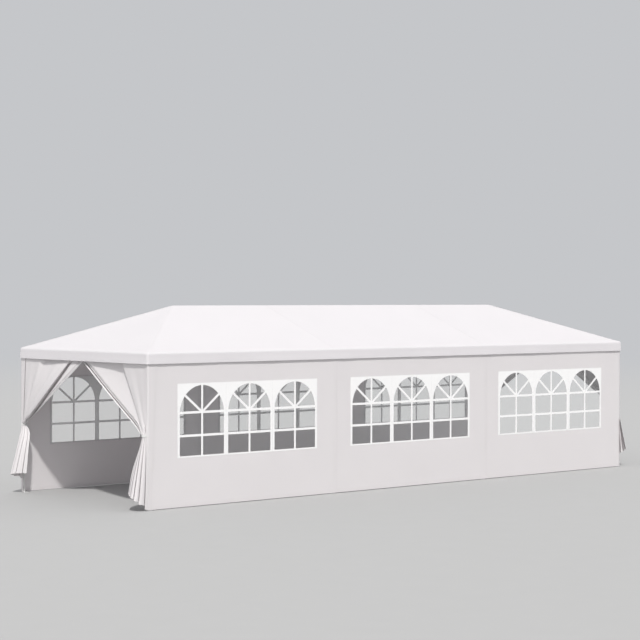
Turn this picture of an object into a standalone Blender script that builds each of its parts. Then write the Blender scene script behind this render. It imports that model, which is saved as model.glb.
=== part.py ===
"""Marquee tent with a hipped fabric roof, three windowed walls on each long side and a tied-back doorway at each end.

Metres, +Z up, +X along the ridge. The origin is on the ground at the centre of the plan.
Run with: blender --background --python part.py
"""

import math

import bmesh
import bpy
from mathutils import Matrix, Vector

# Overall sizes of the canopy, measured over its cloth
LENGTH = 9.00
WIDTH = 2.87
RIDGE_HEIGHT = 2.49
EAVE_HEIGHT = 1.92
RIDGE_INSET = 1.445
VALANCE_DROP = 0.135

# Cloth and film, modelled thicker than the real 0.2 mm and 0.4 mm
ROOF_THICKNESS = 0.003
VALANCE_THICKNESS = 0.003
WALL_THICKNESS = 0.003
FLAP_THICKNESS = 0.003
FILM_THICKNESS = 0.0015

# Steel frame
TUBE_RADIUS = 0.016
SLEEVE_RADIUS = 0.020
HUB_RADIUS = 0.023
SOCKET_BOTTOM = 0.048
SOCKET_LENGTH = 0.110
SLEEVE_START = 0.002
SLEEVE_STEP = 0.0007
SLEEVE_TWIST = math.radians(5)
HUB_TURN = math.radians(7)
TUBE_SIDES = 12

# Feet
PLATE_SIDE = 0.072
PLATE_THICKNESS = 0.004
FOOT_SLEEVE_HEIGHT = 0.045
PEG_HOLE_RADIUS = 0.005
PEG_HOLE_FROM_LEG = 0.036

# Clearances
CLEARANCE = 0.0003
WELD_DISTANCE = 0.00001
VALANCE_STANDOFF = 0.010
GROUND_CLEARANCE = 0.008

# Walls and their arched windows
WALL_PITCH = 2.89
WINDOW_COUNT = 3
WINDOW_MODULE = 0.763
PANE_WIDTH = 0.695
PANE_BOTTOM = 0.634
SPRING_HEIGHT = 1.160
FILM_MARGIN = 0.030
ARC_STEPS = 16

# Corners, where the end of each wall wraps round the leg and over the next wall
CORNER_RADIUS = 0.014
CORNER_STEPS = 4
WRAP_STEPS = 2
WRAP_CLEARANCE = 0.0008
WALL_WRAP_TOP = 0.158
WALL_WRAP_BOTTOM = 0.052
DOOR_WRAP_TOP = 0.118
DOOR_WRAP_TIE = 0.055
DOOR_WRAP_GAP = 0.006

# Door flaps, zipped together at the top and drawn aside to ties on the corner legs. Levels go down a flap.
AT_RAIL, AT_SPLIT, AT_TIE, AT_HEM = 0, 1, 2, 3
SPLIT_HEIGHT = 1.775
FLAP_MIDDLE_GAP = 0.006
FLAP_COLUMNS = 18
UPPER_ROWS = 8
LOWER_ROWS = 6
TIE_HEIGHT = 0.91
BUNDLE_WIDTH = 0.095
BUNDLE_WIDTH_UNDER_WRAP = 0.028
BUNDLE_ARCH = 0.030
PLEATS = 2
PLEAT_DEPTH = 0.040
HEM_REACH = 0.235
HEM_OUT = 0.07
HEM_BULGE = 0.36
HEM_LEAN = 0.05
HEM_RISE_POWER = 0.8
ZIP_HEM_HEIGHT = 0.208
COVERED_HEM_HEIGHT = 0.19
COVERED_ZIP_HEM_HEIGHT = 0.275
FAN_QUICKNESS = 3.5
TUCK_DEPTH = 0.05
RUN_STEP = 0.001

# Colours and finishes
WHITE_CLOTH = (0.86, 0.85, 0.87, 1.0)
WALL_CLOTH = (0.80, 0.79, 0.81, 1.0)
WHITE_STEEL = (0.84, 0.84, 0.83, 1.0)
CLEAR_FILM = (0.80, 0.86, 0.88, 0.30)

# Where the frame lies below and inside the cloth
INSET = VALANCE_THICKNESS + VALANCE_STANDOFF + WALL_THICKNESS + CLEARANCE + HUB_RADIUS
LEG_X = LENGTH / 2 - INSET
LEG_Y = WIDTH / 2 - INSET
WALL_INNER = HUB_RADIUS + CLEARANCE
DOOR_WRAP_PLANE = WALL_INNER + FLAP_THICKNESS + WRAP_CLEARANCE + WALL_THICKNESS / 2
SIDE_SLOPE = (RIDGE_HEIGHT - EAVE_HEIGHT) / (WIDTH / 2)
END_SLOPE = (RIDGE_HEIGHT - EAVE_HEIGHT) / RIDGE_INSET
STEEPEST = math.atan(max(SIDE_SLOPE, END_SLOPE))
ROOF_DROP = ROOF_THICKNESS / math.cos(STEEPEST)
HUB_DROP = ROOF_DROP + (HUB_RADIUS + CLEARANCE) / math.cos(STEEPEST)
RAIL_HEIGHT = EAVE_HEIGHT + INSET * min(SIDE_SLOPE, END_SLOPE) - HUB_DROP
RIDGE_TUBE_HEIGHT = RIDGE_HEIGHT - HUB_DROP
RIDGE_END = LENGTH / 2 - RIDGE_INSET
MIDDLE_LEG_X = WALL_PITCH / 2
WALL_TOP = RAIL_HEIGHT
LEG_STATIONS = (-LEG_X, -MIDDLE_LEG_X, MIDDLE_LEG_X, LEG_X)
RIDGE_STATIONS = (-RIDGE_END, -MIDDLE_LEG_X, MIDDLE_LEG_X, RIDGE_END)


def clear_scene():
    for obj in list(bpy.data.objects):
        bpy.data.objects.remove(obj)


def new_collection(name):
    made = bpy.data.collections.new(name)
    bpy.context.scene.collection.children.link(made)
    return made


def make_material(name, colour, roughness, metallic=0.0):
    material = bpy.data.materials.new(name)
    material.use_nodes = True
    shader = material.node_tree.nodes["Principled BSDF"]
    shader.inputs["Base Color"].default_value = colour
    shader.inputs["Roughness"].default_value = roughness
    shader.inputs["Metallic"].default_value = metallic
    shader.inputs["Alpha"].default_value = colour[3]
    return material


clear_scene()
TENT = new_collection("marquee_tent")
CUTTERS = new_collection("cutters")
ROOF_CLOTH = make_material("roof cloth", WHITE_CLOTH, 0.55)
SIDE_CLOTH = make_material("wall cloth", WALL_CLOTH, 0.6)
FRAME_STEEL = make_material("white steel", WHITE_STEEL, 0.35)
FILM = make_material("clear film", CLEAR_FILM, 0.08)


def add_object(name, data, material=None):
    obj = bpy.data.objects.new(name, data)
    if material is None:
        CUTTERS.objects.link(obj)
        obj.hide_render = True
        obj.display_type = "WIRE"
    else:
        TENT.objects.link(obj)
        data.materials.append(material)
    return obj


def mesh_of(name, shape):
    bmesh.ops.recalc_face_normals(shape, faces=shape.faces)
    mesh = bpy.data.meshes.new(name)
    shape.to_mesh(mesh)
    shape.free()
    return mesh


def shade_round(mesh):
    mesh.shade_smooth()
    mesh.set_sharp_from_angle(angle=math.radians(40))


def tube(name, start, end, radius, material=None, twist=0.0):
    """A round bar from start to end. Bars on one line, with one twist, have their flats on the same sides."""
    start, end = Vector(start), Vector(end)
    run = end - start
    turn = run.to_track_quat("Z", "Y").to_matrix().to_4x4() @ Matrix.Rotation(twist, 4, "Z")
    shape = bmesh.new()
    bmesh.ops.create_cone(
        shape, cap_ends=True, segments=TUBE_SIDES, radius1=radius, radius2=radius, depth=run.length
    )
    bmesh.ops.transform(shape, matrix=turn, verts=shape.verts)
    mesh = mesh_of(name, shape)
    shade_round(mesh)
    obj = add_object(name, mesh, material)
    obj.location = (start + end) / 2
    return obj


def ball(name, centre, radius):
    shape = bmesh.new()
    bmesh.ops.create_uvsphere(shape, u_segments=TUBE_SIDES, v_segments=TUBE_SIDES // 2, radius=radius)
    obj = add_object(name, mesh_of(name, shape))
    obj.location = centre
    obj.rotation_euler = (HUB_TURN, HUB_TURN, HUB_TURN)
    return obj


def box(name, low, high, material=None):
    low, high = Vector(low), Vector(high)
    shape = bmesh.new()
    bmesh.ops.create_cube(shape, size=1.0)
    bmesh.ops.scale(shape, vec=high - low, verts=shape.verts)
    obj = add_object(name, mesh_of(name, shape), material)
    obj.location = (low + high) / 2
    return obj


def combine(obj, other, operation):
    modifier = obj.modifiers.new(f"{operation.lower()} {other.name}", "BOOLEAN")
    modifier.operation = operation
    modifier.object = other
    modifier.solver = "EXACT"


def fitting(owner, name, centre, closed_runs, open_runs):
    """A tube connector on owner: sleeves along closed_runs, and bored sockets along open_runs.
    Each sleeve has its own twist and its own start inside the hub, so no two faces or edges coincide."""
    centre = Vector(centre)
    combine(owner, ball(f"{name}_hub", centre, HUB_RADIUS), "UNION")
    for n, run in enumerate(list(closed_runs) + list(open_runs)):
        along = Vector(run).normalized()
        start = centre + along * (SLEEVE_START + SLEEVE_STEP * n)
        end = centre + along * SOCKET_LENGTH
        sleeve = tube(f"{name}_sleeve_{n}", start, end, SLEEVE_RADIUS, twist=SLEEVE_TWIST * (n + 1))
        combine(owner, sleeve, "UNION")
    for n, run in enumerate(open_runs):
        along = Vector(run).normalized()
        bottom = centre + along * SOCKET_BOTTOM
        mouth = centre + along * (SOCKET_LENGTH + SLEEVE_RADIUS)
        combine(owner, tube(f"{name}_bore_{n}", bottom, mouth, TUBE_RADIUS + CLEARANCE), "DIFFERENCE")


def seated(start, end):
    """The two ends of a tube that runs between the sockets of the fittings at start and end."""
    start, end = Vector(start), Vector(end)
    inwards = (end - start).normalized() * (SOCKET_BOTTOM + CLEARANCE)
    return start + inwards, end - inwards


def ridge_point(station):
    """The fitting on the ridge that the rafters of this leg station rise to."""
    return Vector((RIDGE_STATIONS[station], 0, RIDGE_TUBE_HEIGHT))


def eave_point(station, side):
    return Vector((LEG_STATIONS[station], side * LEG_Y, RAIL_HEIGHT))


def build_eave_rails():
    """The rail of each long side with its four fittings, and the tube that crosses each end."""
    for side, face in ((-1, "front"), (1, "back")):
        rail = tube(f"{face}_eave_rail", eave_point(0, side), eave_point(3, side), TUBE_RADIUS, FRAME_STEEL)
        for station in range(4):
            centre = eave_point(station, side)
            along = [(step, 0, 0) for step in (-1, 1) if 0 <= station + step <= 3]
            sockets = [(0, 0, -1), ridge_point(station) - centre]
            if station in (0, 3):
                sockets.append((0, -side, 0))
            fitting(rail, f"{face}_eave_fitting_{station + 1}", centre, along, sockets)
    for station, end in ((0, "left"), (3, "right")):
        start, stop = seated(eave_point(station, -1), eave_point(station, 1))
        tube(f"{end}_eave_rail", start, stop, TUBE_RADIUS, FRAME_STEEL)


def build_ridge():
    """The ridge tube with its four fittings."""
    ridge = tube("ridge_tube", ridge_point(0), ridge_point(3), TUBE_RADIUS, FRAME_STEEL)
    for station in range(4):
        centre = ridge_point(station)
        along = [(step, 0, 0) for step in (-1, 1) if 0 <= station + step <= 3]
        sockets = [eave_point(station, side) - centre for side in (-1, 1)]
        fitting(ridge, f"ridge_fitting_{station + 1}", centre, along, sockets)


def build_rafters():
    """Hip rafters rise from the corner legs and common rafters from the middle legs."""
    for side, face in ((-1, "front"), (1, "back")):
        for station in range(4):
            kind = "hip_rafter" if station in (0, 3) else "rafter"
            start, stop = seated(eave_point(station, side), ridge_point(station))
            tube(f"{face}_{kind}_{station + 1}", start, stop, TUBE_RADIUS, FRAME_STEEL)


def build_legs():
    """Eight legs, each on a foot plate that is set inwards, behind the walls."""
    for side, face in ((-1, "front"), (1, "back")):
        for station in range(4):
            x, y, rail = eave_point(station, side)
            name = f"{face}_leg_{station + 1}"
            top = rail - SOCKET_BOTTOM - CLEARANCE
            leg = tube(name, (x, y, PLATE_THICKNESS / 2), (x, y, top), TUBE_RADIUS, FRAME_STEEL)
            inward_x = {0: 1, 3: -1}.get(station, 0)
            half = PLATE_SIDE / 2
            shift = half - SLEEVE_RADIUS
            shift_x = inward_x * shift
            cx, cy = x + shift_x, y - side * shift
            plate = box(f"{name}_plate", (cx - half, cy - half, 0), (cx + half, cy + half, PLATE_THICKNESS))
            sleeve = tube(
                f"{name}_sleeve",
                (x, y, PLATE_THICKNESS / 4),
                (x, y, PLATE_THICKNESS + FOOT_SLEEVE_HEIGHT),
                SLEEVE_RADIUS,
                twist=SLEEVE_TWIST,
            )
            peg_y = y - side * PEG_HOLE_FROM_LEG
            peg = tube(
                f"{name}_peg_hole",
                (cx, peg_y, -PLATE_THICKNESS),
                (cx, peg_y, 2 * PLATE_THICKNESS),
                PEG_HOLE_RADIUS,
            )
            combine(leg, plate, "UNION")
            combine(leg, sleeve, "UNION")
            combine(leg, peg, "DIFFERENCE")


def roof_panel(name, eave_low, eave_high, ridge_low, ridge_high):
    """A sloping slab between an eave edge and the ridge, with upright sides that meet its neighbours."""
    shape = bmesh.new()
    bmesh.ops.create_cube(shape, size=1.0)
    for vertex in shape.verts:
        at_ridge, at_high, at_top = vertex.co.y > 0, vertex.co.x > 0, vertex.co.z > 0
        if at_ridge:
            corner = ridge_high if at_high else ridge_low
        else:
            corner = eave_high if at_high else eave_low
        vertex.co = Vector(corner) - Vector((0, 0, 0 if at_top else ROOF_DROP))
    bmesh.ops.remove_doubles(shape, verts=shape.verts, dist=WELD_DISTANCE)
    add_object(name, mesh_of(name, shape), ROOF_CLOTH)


def build_roof():
    """Two long slopes and two hip ends, each a slab."""
    x, y, seam = LENGTH / 2, WIDTH / 2, CLEARANCE
    for side, face in ((-1, "front"), (1, "back")):
        roof_panel(
            f"{face}_roof",
            (-x + seam, side * y, EAVE_HEIGHT),
            (x - seam, side * y, EAVE_HEIGHT),
            (-RIDGE_END + seam, side * seam, RIDGE_HEIGHT),
            (RIDGE_END - seam, side * seam, RIDGE_HEIGHT),
        )
    for end, face in ((-1, "left"), (1, "right")):
        apex = (end * (RIDGE_END + seam), 0, RIDGE_HEIGHT)
        roof_panel(
            f"{face}_roof",
            (end * x, -y + seam, EAVE_HEIGHT),
            (end * x, y - seam, EAVE_HEIGHT),
            apex,
            apex,
        )


def build_valances():
    """The strip of canopy that hangs below the eaves on each side."""
    top = EAVE_HEIGHT - ROOF_DROP - CLEARANCE
    bottom = EAVE_HEIGHT - VALANCE_DROP
    x, y = LENGTH / 2, WIDTH / 2
    for side, face in ((-1, "front"), (1, "back")):
        inner, outer = sorted((side * (y - VALANCE_THICKNESS), side * y))
        box(f"{face}_valance", (-x, inner, bottom), (x, outer, top), ROOF_CLOTH)
    reach = y - VALANCE_THICKNESS - CLEARANCE
    for end, face in ((-1, "left"), (1, "right")):
        inner, outer = sorted((end * (x - VALANCE_THICKNESS), end * x))
        box(f"{face}_valance", (inner, -reach, bottom), (outer, reach, top), ROOF_CLOTH)


def add_outline(curve, points):
    """A closed straight-sided outline on a flat curve."""
    spline = curve.splines.new("POLY")
    spline.points.add(len(points) - 1)
    for point, (x, z) in zip(spline.points, points):
        point.co = (x, z, 0, 1)
    spline.use_cyclic_u = True


def rectangle(low_x, low_z, high_x, high_z):
    return [(low_x, low_z), (high_x, low_z), (high_x, high_z), (low_x, high_z)]


def arched_pane(centre):
    """The outline of one window, square at the sill and round at the head."""
    radius = PANE_WIDTH / 2
    head = [math.pi * n / ARC_STEPS for n in range(ARC_STEPS + 1)]
    arc = [(centre + radius * math.cos(a), SPRING_HEIGHT + radius * math.sin(a)) for a in head]
    return [(centre - radius, PANE_BOTTOM), (centre + radius, PANE_BOTTOM)] + arc


def upright_sheet(name, outlines, thickness, y, material):
    """A flat sheet that stands in the XZ plane with its middle at y. Every outline after the first is a hole."""
    curve = bpy.data.curves.new(name, "CURVE")
    curve.dimensions = "2D"
    curve.fill_mode = "BOTH"
    curve.extrude = thickness / 2
    for outline in outlines:
        add_outline(curve, outline)
    sheet = add_object(name, curve, material)
    sheet.rotation_euler = (math.radians(90), 0, 0)
    sheet.location = (0, y, 0)
    return sheet


def cloth_strip(name, columns, rows, place, thickness, material):
    """A sheet of cloth whose middle surface is place(column, row)."""
    shape = bmesh.new()
    bmesh.ops.create_grid(shape, x_segments=columns, y_segments=rows, size=0.5)
    for vertex in shape.verts:
        column = round((vertex.co.x + 0.5) * columns)
        row = round((vertex.co.y + 0.5) * rows)
        vertex.co = place(column, row)
    cloth = add_object(name, mesh_of(name, shape), material)
    cloth.data.shade_smooth()
    thicken = cloth.modifiers.new("cloth thickness", "SOLIDIFY")
    thicken.thickness = thickness
    thicken.offset = 0.0


def door_wrap_width(height):
    """How far a long wall's wrap covers the end wall. The tie holds it in from there down."""
    above_tie = max(0.0, height - TIE_HEIGHT) / (WALL_TOP - TIE_HEIGHT)
    return DOOR_WRAP_TIE + (DOOR_WRAP_TOP - DOOR_WRAP_TIE) * above_tie


def turn_corner(sheet, side, end, bend_start):
    """Make the sheet a mesh and bend what lies past bend_start a quarter turn round the corner leg."""
    depsgraph = bpy.context.evaluated_depsgraph_get()
    depsgraph.update()
    mesh = bpy.data.meshes.new_from_object(sheet.evaluated_get(depsgraph))
    shape = bmesh.new()
    shape.from_mesh(mesh)
    bmesh.ops.remove_doubles(shape, verts=shape.verts, dist=WELD_DISTANCE)
    arc = CORNER_RADIUS * math.pi / 2
    for step in range(CORNER_STEPS + 1):
        cut = Vector((end * (bend_start + arc * step / CORNER_STEPS), 0, 0))
        everything = shape.verts[:] + shape.edges[:] + shape.faces[:]
        bmesh.ops.bisect_plane(shape, geom=everything, plane_co=cut, plane_no=(1, 0, 0), dist=WELD_DISTANCE)
    for vertex in shape.verts:
        past = end * vertex.co.x - bend_start
        if past <= 0:
            continue
        turn = min(past, arc) / CORNER_RADIUS
        radius = CORNER_RADIUS - side * vertex.co.z
        inwards = CORNER_RADIUS - radius * math.cos(turn) + max(0.0, past - arc)
        vertex.co.x = end * (bend_start + radius * math.sin(turn))
        vertex.co.z = side * inwards
    shape.to_mesh(mesh)
    shape.free()
    name, placed = sheet.name, sheet.matrix_world.copy()
    bpy.data.objects.remove(sheet)
    mesh.materials.clear()
    bent = add_object(name, mesh, SIDE_CLOTH)
    bent.matrix_world = placed


def wall_outline(bay, wrapped_end, bend_start):
    """The cut of one wall of a long side, as (x, z) points. The wall at wrapped_end has a wrap, laid flat."""
    middle = bay * WALL_PITCH
    low = middle - WALL_PITCH / 2 + CLEARANCE if bay > -1 else -LEG_X
    high = middle + WALL_PITCH / 2 - CLEARANCE if bay < 1 else LEG_X
    if bay != wrapped_end:
        return rectangle(low, GROUND_CLEARANCE, high, WALL_TOP)
    arc = CORNER_RADIUS * math.pi / 2
    far = [
        (bay * (bend_start + arc + door_wrap_width(height) - CORNER_RADIUS), height)
        for height in (GROUND_CLEARANCE, TIE_HEIGHT, WALL_TOP)
    ]
    near = low if bay > 0 else high
    return [(near, GROUND_CLEARANCE)] + far + [(near, WALL_TOP)]


def build_walls():
    """Three walls on each long side, each with three arched windows closed by one sheet of clear film. The
    last wall of each side, going round the tent, wraps over the end wall."""
    wall_y = LEG_Y + WALL_INNER + WALL_THICKNESS / 2
    film_y = LEG_Y + WALL_INNER - CLEARANCE - FILM_THICKNESS / 2
    bend_start = LEG_X + DOOR_WRAP_PLANE - CORNER_RADIUS
    for side, face in ((-1, "front"), (1, "back")):
        wrapped_end = -side
        for bay in (-1, 0, 1):
            first = bay * WALL_PITCH - WINDOW_MODULE * (WINDOW_COUNT - 1) / 2
            centres = [first + WINDOW_MODULE * n for n in range(WINDOW_COUNT)]
            outlines = [wall_outline(bay, wrapped_end, bend_start)] + [arched_pane(centre) for centre in centres]
            name = f"{face}_wall_{bay + 2}"
            wall = upright_sheet(name, outlines, WALL_THICKNESS, side * wall_y, SIDE_CLOTH)
            if bay == wrapped_end:
                turn_corner(wall, side, wrapped_end, bend_start)
            film = rectangle(
                centres[0] - PANE_WIDTH / 2 - FILM_MARGIN,
                PANE_BOTTOM - FILM_MARGIN,
                centres[-1] + PANE_WIDTH / 2 + FILM_MARGIN,
                SPRING_HEIGHT + PANE_WIDTH / 2 + FILM_MARGIN,
            )
            upright_sheet(f"{face}_window_film_{bay + 2}", [film], FILM_THICKNESS, side * film_y, FILM)


def corner_places():
    """The places across a flap's wrap, as (share of the bend, share of the width past the bend)."""
    bend = [(n / CORNER_STEPS, 0.0) for n in range(CORNER_STEPS)]
    return bend + [(1.0, n / WRAP_STEPS) for n in range(WRAP_STEPS + 1)]


def round_corner(bend, share, height):
    """Where the cloth of a flap's wrap lies, measured from the sharp corner, as (along the end wall, which is
    never positive, along the long wall)."""
    width = WALL_WRAP_BOTTOM + (WALL_WRAP_TOP - WALL_WRAP_BOTTOM) * height / WALL_TOP
    turn = bend * math.pi / 2
    before = CORNER_RADIUS * (math.sin(turn) - 1)
    past = CORNER_RADIUS * (1 - math.cos(turn)) + (width - CORNER_RADIUS) * share
    return before, past


def bezier(start, control, end, t):
    """A point on the quadratic curve between two numbers."""
    return start * (1 - t) ** 2 + 2 * control * t * (1 - t) + end * t * t


def flap_height(share, level, edge_hem, zip_hem):
    """The height of a level, with a hem that goes from edge_hem at the flap's first edge to zip_hem at its
    zip."""
    if level <= AT_SPLIT:
        return WALL_TOP + (SPLIT_HEIGHT - WALL_TOP) * (level - AT_RAIL)
    if level <= AT_TIE:
        return SPLIT_HEIGHT + (TIE_HEIGHT - SPLIT_HEIGHT) * (level - AT_SPLIT)
    hem = edge_hem + (zip_hem - edge_hem) * math.sin(math.pi / 2 * share**HEM_RISE_POWER)
    return TIE_HEIGHT + (hem - TIE_HEIGHT) * (level - AT_TIE)


def gathered_line(share, level, width, bundle):
    """Where the gathered part of a flap lies before it is pleated, as (out from its plane, inwards from its
    first edge). share runs from that edge, 0, to the zip, 1. width is its width at the rail and bundle its
    width at the tie."""
    gather = max(0.0, min(1.0, level - AT_SPLIT))
    fall = max(0.0, level - AT_TIE)
    spread = 1 - (1 - fall) ** FAN_QUICKNESS
    drawn = (width + (bundle - width) * gather) * share
    arch = BUNDLE_ARCH * gather * gather * math.sin(math.pi * share) * (1 - fall)
    tuck = TUCK_DEPTH * share * share * math.sin(math.pi * spread) * (1 - fall)
    out = arch + bezier(0.0, HEM_BULGE, HEM_OUT, share) * fall - tuck
    lean = bezier(0.0, HEM_LEAN, 0.0, share) * fall * fall
    return out, drawn + (HEM_REACH * share * share - drawn) * spread - lean


def pleated_line(share, level, width, bundle):
    """gathered_line with the pleats of the lower part added, square to the cloth's run."""
    before = gathered_line(max(0.0, share - RUN_STEP), level, width, bundle)
    after = gathered_line(min(1.0, share + RUN_STEP), level, width, bundle)
    run = Vector((after[0] - before[0], after[1] - before[1])).normalized()
    depth = PLEAT_DEPTH * max(0.0, level - AT_TIE)
    wave = depth * (1 - math.cos(2 * math.pi * PLEATS * share)) / 2
    out, inwards = gathered_line(share, level, width, bundle)
    return out + wave * run.y, inwards - wave * run.x


def door_flap(name, end, side):
    """Half of an end wall, hung from the eave rail and drawn aside to the corner leg. The one that comes
    first, going round the tent, wraps round the leg over the long wall. The other starts under a wrap, where
    it lies flat, is gathered beside it, and is drawn up higher."""
    plane = LEG_X + WALL_INNER + FLAP_THICKNESS / 2
    wraps = end == side
    levels = [AT_RAIL] + [AT_SPLIT + n / UPPER_ROWS for n in range(UPPER_ROWS)]
    levels += [AT_TIE + (AT_HEM - AT_TIE) * n / LOWER_ROWS for n in range(LOWER_ROWS + 1)]
    gathers = [n / FLAP_COLUMNS for n in range(FLAP_COLUMNS + 1)]
    if wraps:
        corner = LEG_Y + WALL_INNER + WALL_THICKNESS + CLEARANCE + FLAP_THICKNESS / 2
        bundle = BUNDLE_WIDTH - CORNER_RADIUS
        hems = GROUND_CLEARANCE, ZIP_HEM_HEIGHT
        edge = list(reversed(corner_places()))[:-1]
    else:
        corner = LEG_Y + WALL_INNER + WALL_THICKNESS / 2
        bundle = BUNDLE_WIDTH_UNDER_WRAP
        hems = COVERED_HEM_HEIGHT, COVERED_ZIP_HEM_HEIGHT
        edge = [CORNER_RADIUS]

    def place(column, row):
        level = levels[row]
        height = flap_height(0.0, level, *hems)
        if column < len(edge):
            if not wraps:
                return end * plane, side * (corner - edge[column]), height
            before, past = round_corner(*edge[column], height)
            return end * (plane - past), side * (corner + before), height
        share = gathers[column - len(edge)]
        start = CORNER_RADIUS if wraps else door_wrap_width(height) + DOOR_WRAP_GAP
        out, inwards = pleated_line(share, level, corner - start - FLAP_MIDDLE_GAP / 2, bundle)
        return end * (plane + out), side * (corner - start - inwards), flap_height(share, level, *hems)

    columns = len(edge) + len(gathers) - 1
    cloth_strip(name, columns, len(levels) - 1, place, FLAP_THICKNESS, SIDE_CLOTH)


def build_door_flaps():
    for end, place in ((-1, "left"), (1, "right")):
        for side, face in ((-1, "front"), (1, "back")):
            door_flap(f"{place}_door_flap_{face}", end, side)


build_eave_rails()
build_ridge()
build_rafters()
build_legs()
build_roof()
build_valances()
build_walls()
build_door_flaps()
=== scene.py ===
"""Marquee tent: its cloth, windows, door flaps, trim, finishes and stage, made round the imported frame.

Distances are in metres. +X runs along the ridge to the right end, +Y from the front wall to the back
one, and +Z is up. Half a turn about Z maps the tent onto itself, so the front walls and the left end
are described once, and turned for the back walls and the right end.
"""

import itertools
import math
from types import SimpleNamespace

import bmesh
import bpy
from mathutils import Matrix, Vector, noise


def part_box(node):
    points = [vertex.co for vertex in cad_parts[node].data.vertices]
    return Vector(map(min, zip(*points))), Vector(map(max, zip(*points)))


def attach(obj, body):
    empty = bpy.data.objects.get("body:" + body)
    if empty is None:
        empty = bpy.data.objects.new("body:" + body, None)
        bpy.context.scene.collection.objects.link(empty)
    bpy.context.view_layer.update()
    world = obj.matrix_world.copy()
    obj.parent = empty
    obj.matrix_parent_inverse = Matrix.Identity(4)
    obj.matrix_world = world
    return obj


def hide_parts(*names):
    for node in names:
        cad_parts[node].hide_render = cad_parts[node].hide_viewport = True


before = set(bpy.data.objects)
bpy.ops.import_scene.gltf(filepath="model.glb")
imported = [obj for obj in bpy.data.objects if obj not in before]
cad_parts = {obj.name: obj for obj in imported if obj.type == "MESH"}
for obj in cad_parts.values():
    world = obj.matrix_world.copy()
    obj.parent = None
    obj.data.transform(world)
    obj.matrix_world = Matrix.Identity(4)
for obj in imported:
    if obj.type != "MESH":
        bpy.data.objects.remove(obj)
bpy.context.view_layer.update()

bl_info = {
    "name": "Marquee tent looks",
    "version": (1, 0, 0),
    "blender": (4, 5, 0),
    "location": "3D View > Sidebar > Marquee",
    "description": "Dresses the frame of a long party tent with its cloth, windows, trim and finishes",
    "category": "Object",
}

BODY = "root"
SAME_PLACE = 0.00001
AIR_GAP = 0.0003

# Roof and valance, read from the frame
HALF_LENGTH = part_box("front_valance")[1].x
HALF_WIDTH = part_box("back_valance")[1].y
VALANCE_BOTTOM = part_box("front_valance")[0].z
RIDGE_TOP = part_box("front_roof")[1].z
RIDGE_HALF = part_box("right_roof")[0].x
ROOF_SLAB_DEPTH = 0.0032
EAVE_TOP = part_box("front_roof")[0].z + ROOF_SLAB_DEPTH
SIDE_SLOPE = (RIDGE_TOP - EAVE_TOP) / HALF_WIDTH
END_SLOPE = (RIDGE_TOP - EAVE_TOP) / (HALF_LENGTH - RIDGE_HALF)
SLOPE_ANGLE = math.atan(SIDE_SLOPE)
ROOF_LIFT = 0.0014
RIDGE_ROUNDING = 0.010
HIP_ROUNDING = 0.016
SUPPORT_REACH = 0.30
SUPPORT_ROUNDING = 0.020
RIM_CORNER = 0.006
RIM_STEP = RIM_CORNER / 4
EAVE_STRIP, EAVE_STEP = 0.06, 0.012
RIDGE_STRIP, RIDGE_STEP = 0.03, 0.0075
ROOF_STEP_X, ROOF_STEP_Y = 0.038, 0.036
SEAM_STEP = 0.04
HEM_PAST = 0.0004
RAFTER_SEAM_SHORT, HIP_SEAM_START, CORNER_SEAM_OVER = 0.002, 0.02, 0.004
VALANCE_STEP = 0.03
BEND_RINGS = 8
VALANCE_RINGS = 5

# Legs and walls, read from the frame
WALL_BOX_LOW, WALL_BOX_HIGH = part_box("front_wall_2")
WALL_TOP = WALL_BOX_HIGH.z
WALL_BOTTOM = WALL_BOX_LOW.z
WALL_HALF = WALL_BOX_HIGH.x
WALL_PLANE = -(WALL_BOX_LOW.y + WALL_BOX_HIGH.y) / 2
SOLID_CLOTH = WALL_BOX_HIGH.y - WALL_BOX_LOW.y
LEG_X = -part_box("front_wall_1")[0].x
MIDDLE_LEG_X = (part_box("front_rafter_3")[0].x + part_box("front_rafter_3")[1].x) / 2
FITTING_REACH = 0.0233
LEG_Y = WALL_PLANE - SOLID_CLOTH / 2 - FITTING_REACH
TUBE_RADIUS = 0.016
WALL_LAP_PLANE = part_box("front_wall_3")[1].x - SOLID_CLOTH / 2
WALL_LAP = 0.065
WALL_STEP = 0.034
WALL_COLUMN_STEPS = (0.030, 0.02, 0.045, 0.02, 0.030)
WAVE_FADE_WINDOW, WAVE_FADE_LEG, WAVE_FADE_TOP = 0.12, 0.10, 0.5
LAP_RISE_BEFORE, LAP_RISE_LENGTH = 0.15, 0.13
CORNER_LAP = 0.17
CORNER_RADIUS = 0.014
QUARTER_ARC = CORNER_RADIUS * math.pi / 2
DOOR_LAP_TOP = 0.118
DOOR_LAP_TIE = 0.055

# Webbing loops on the eave rails and the legs
LOOP_SIDES = 20
RAIL_LOOP_INSET, RAIL_LOOP_SPACING = 0.35, 0.8
LEFT_LOOP_HEIGHTS = (0.35, 0.95, 1.52)
RIGHT_LOOP_HEIGHTS = (0.45, 1.05, 1.62)
LOOP_PLAY, LOOP_CLEARANCE = 0.0025, 0.002

# Windows: a group of three modules in each wall
WINDOW_CENTRES = (-2.8875, 0.0, 2.8875)
WINDOW_MODULE = 0.763
WINDOW_GROUP_HALF = 1.145
GROUP_BOTTOM = 0.616
GROUP_TOP = 1.534
PANE_HALF = 0.3475
PANE_BOTTOM = 0.634
LOWER_BAR = 0.885
SPRING_BAR = 1.172
ARCH_CENTRE = 1.160
FAN_ANGLE = math.radians(39)
ARC_STEPS = 14
MODULE_GAP = 0.0015
WINDOW_LAP = 0.020
WINDOW_GAP = 0.0002
FILM_GAP = 0.0004
FILM_STEP = 0.03
FILM_SLACK = 0.0008

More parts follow.
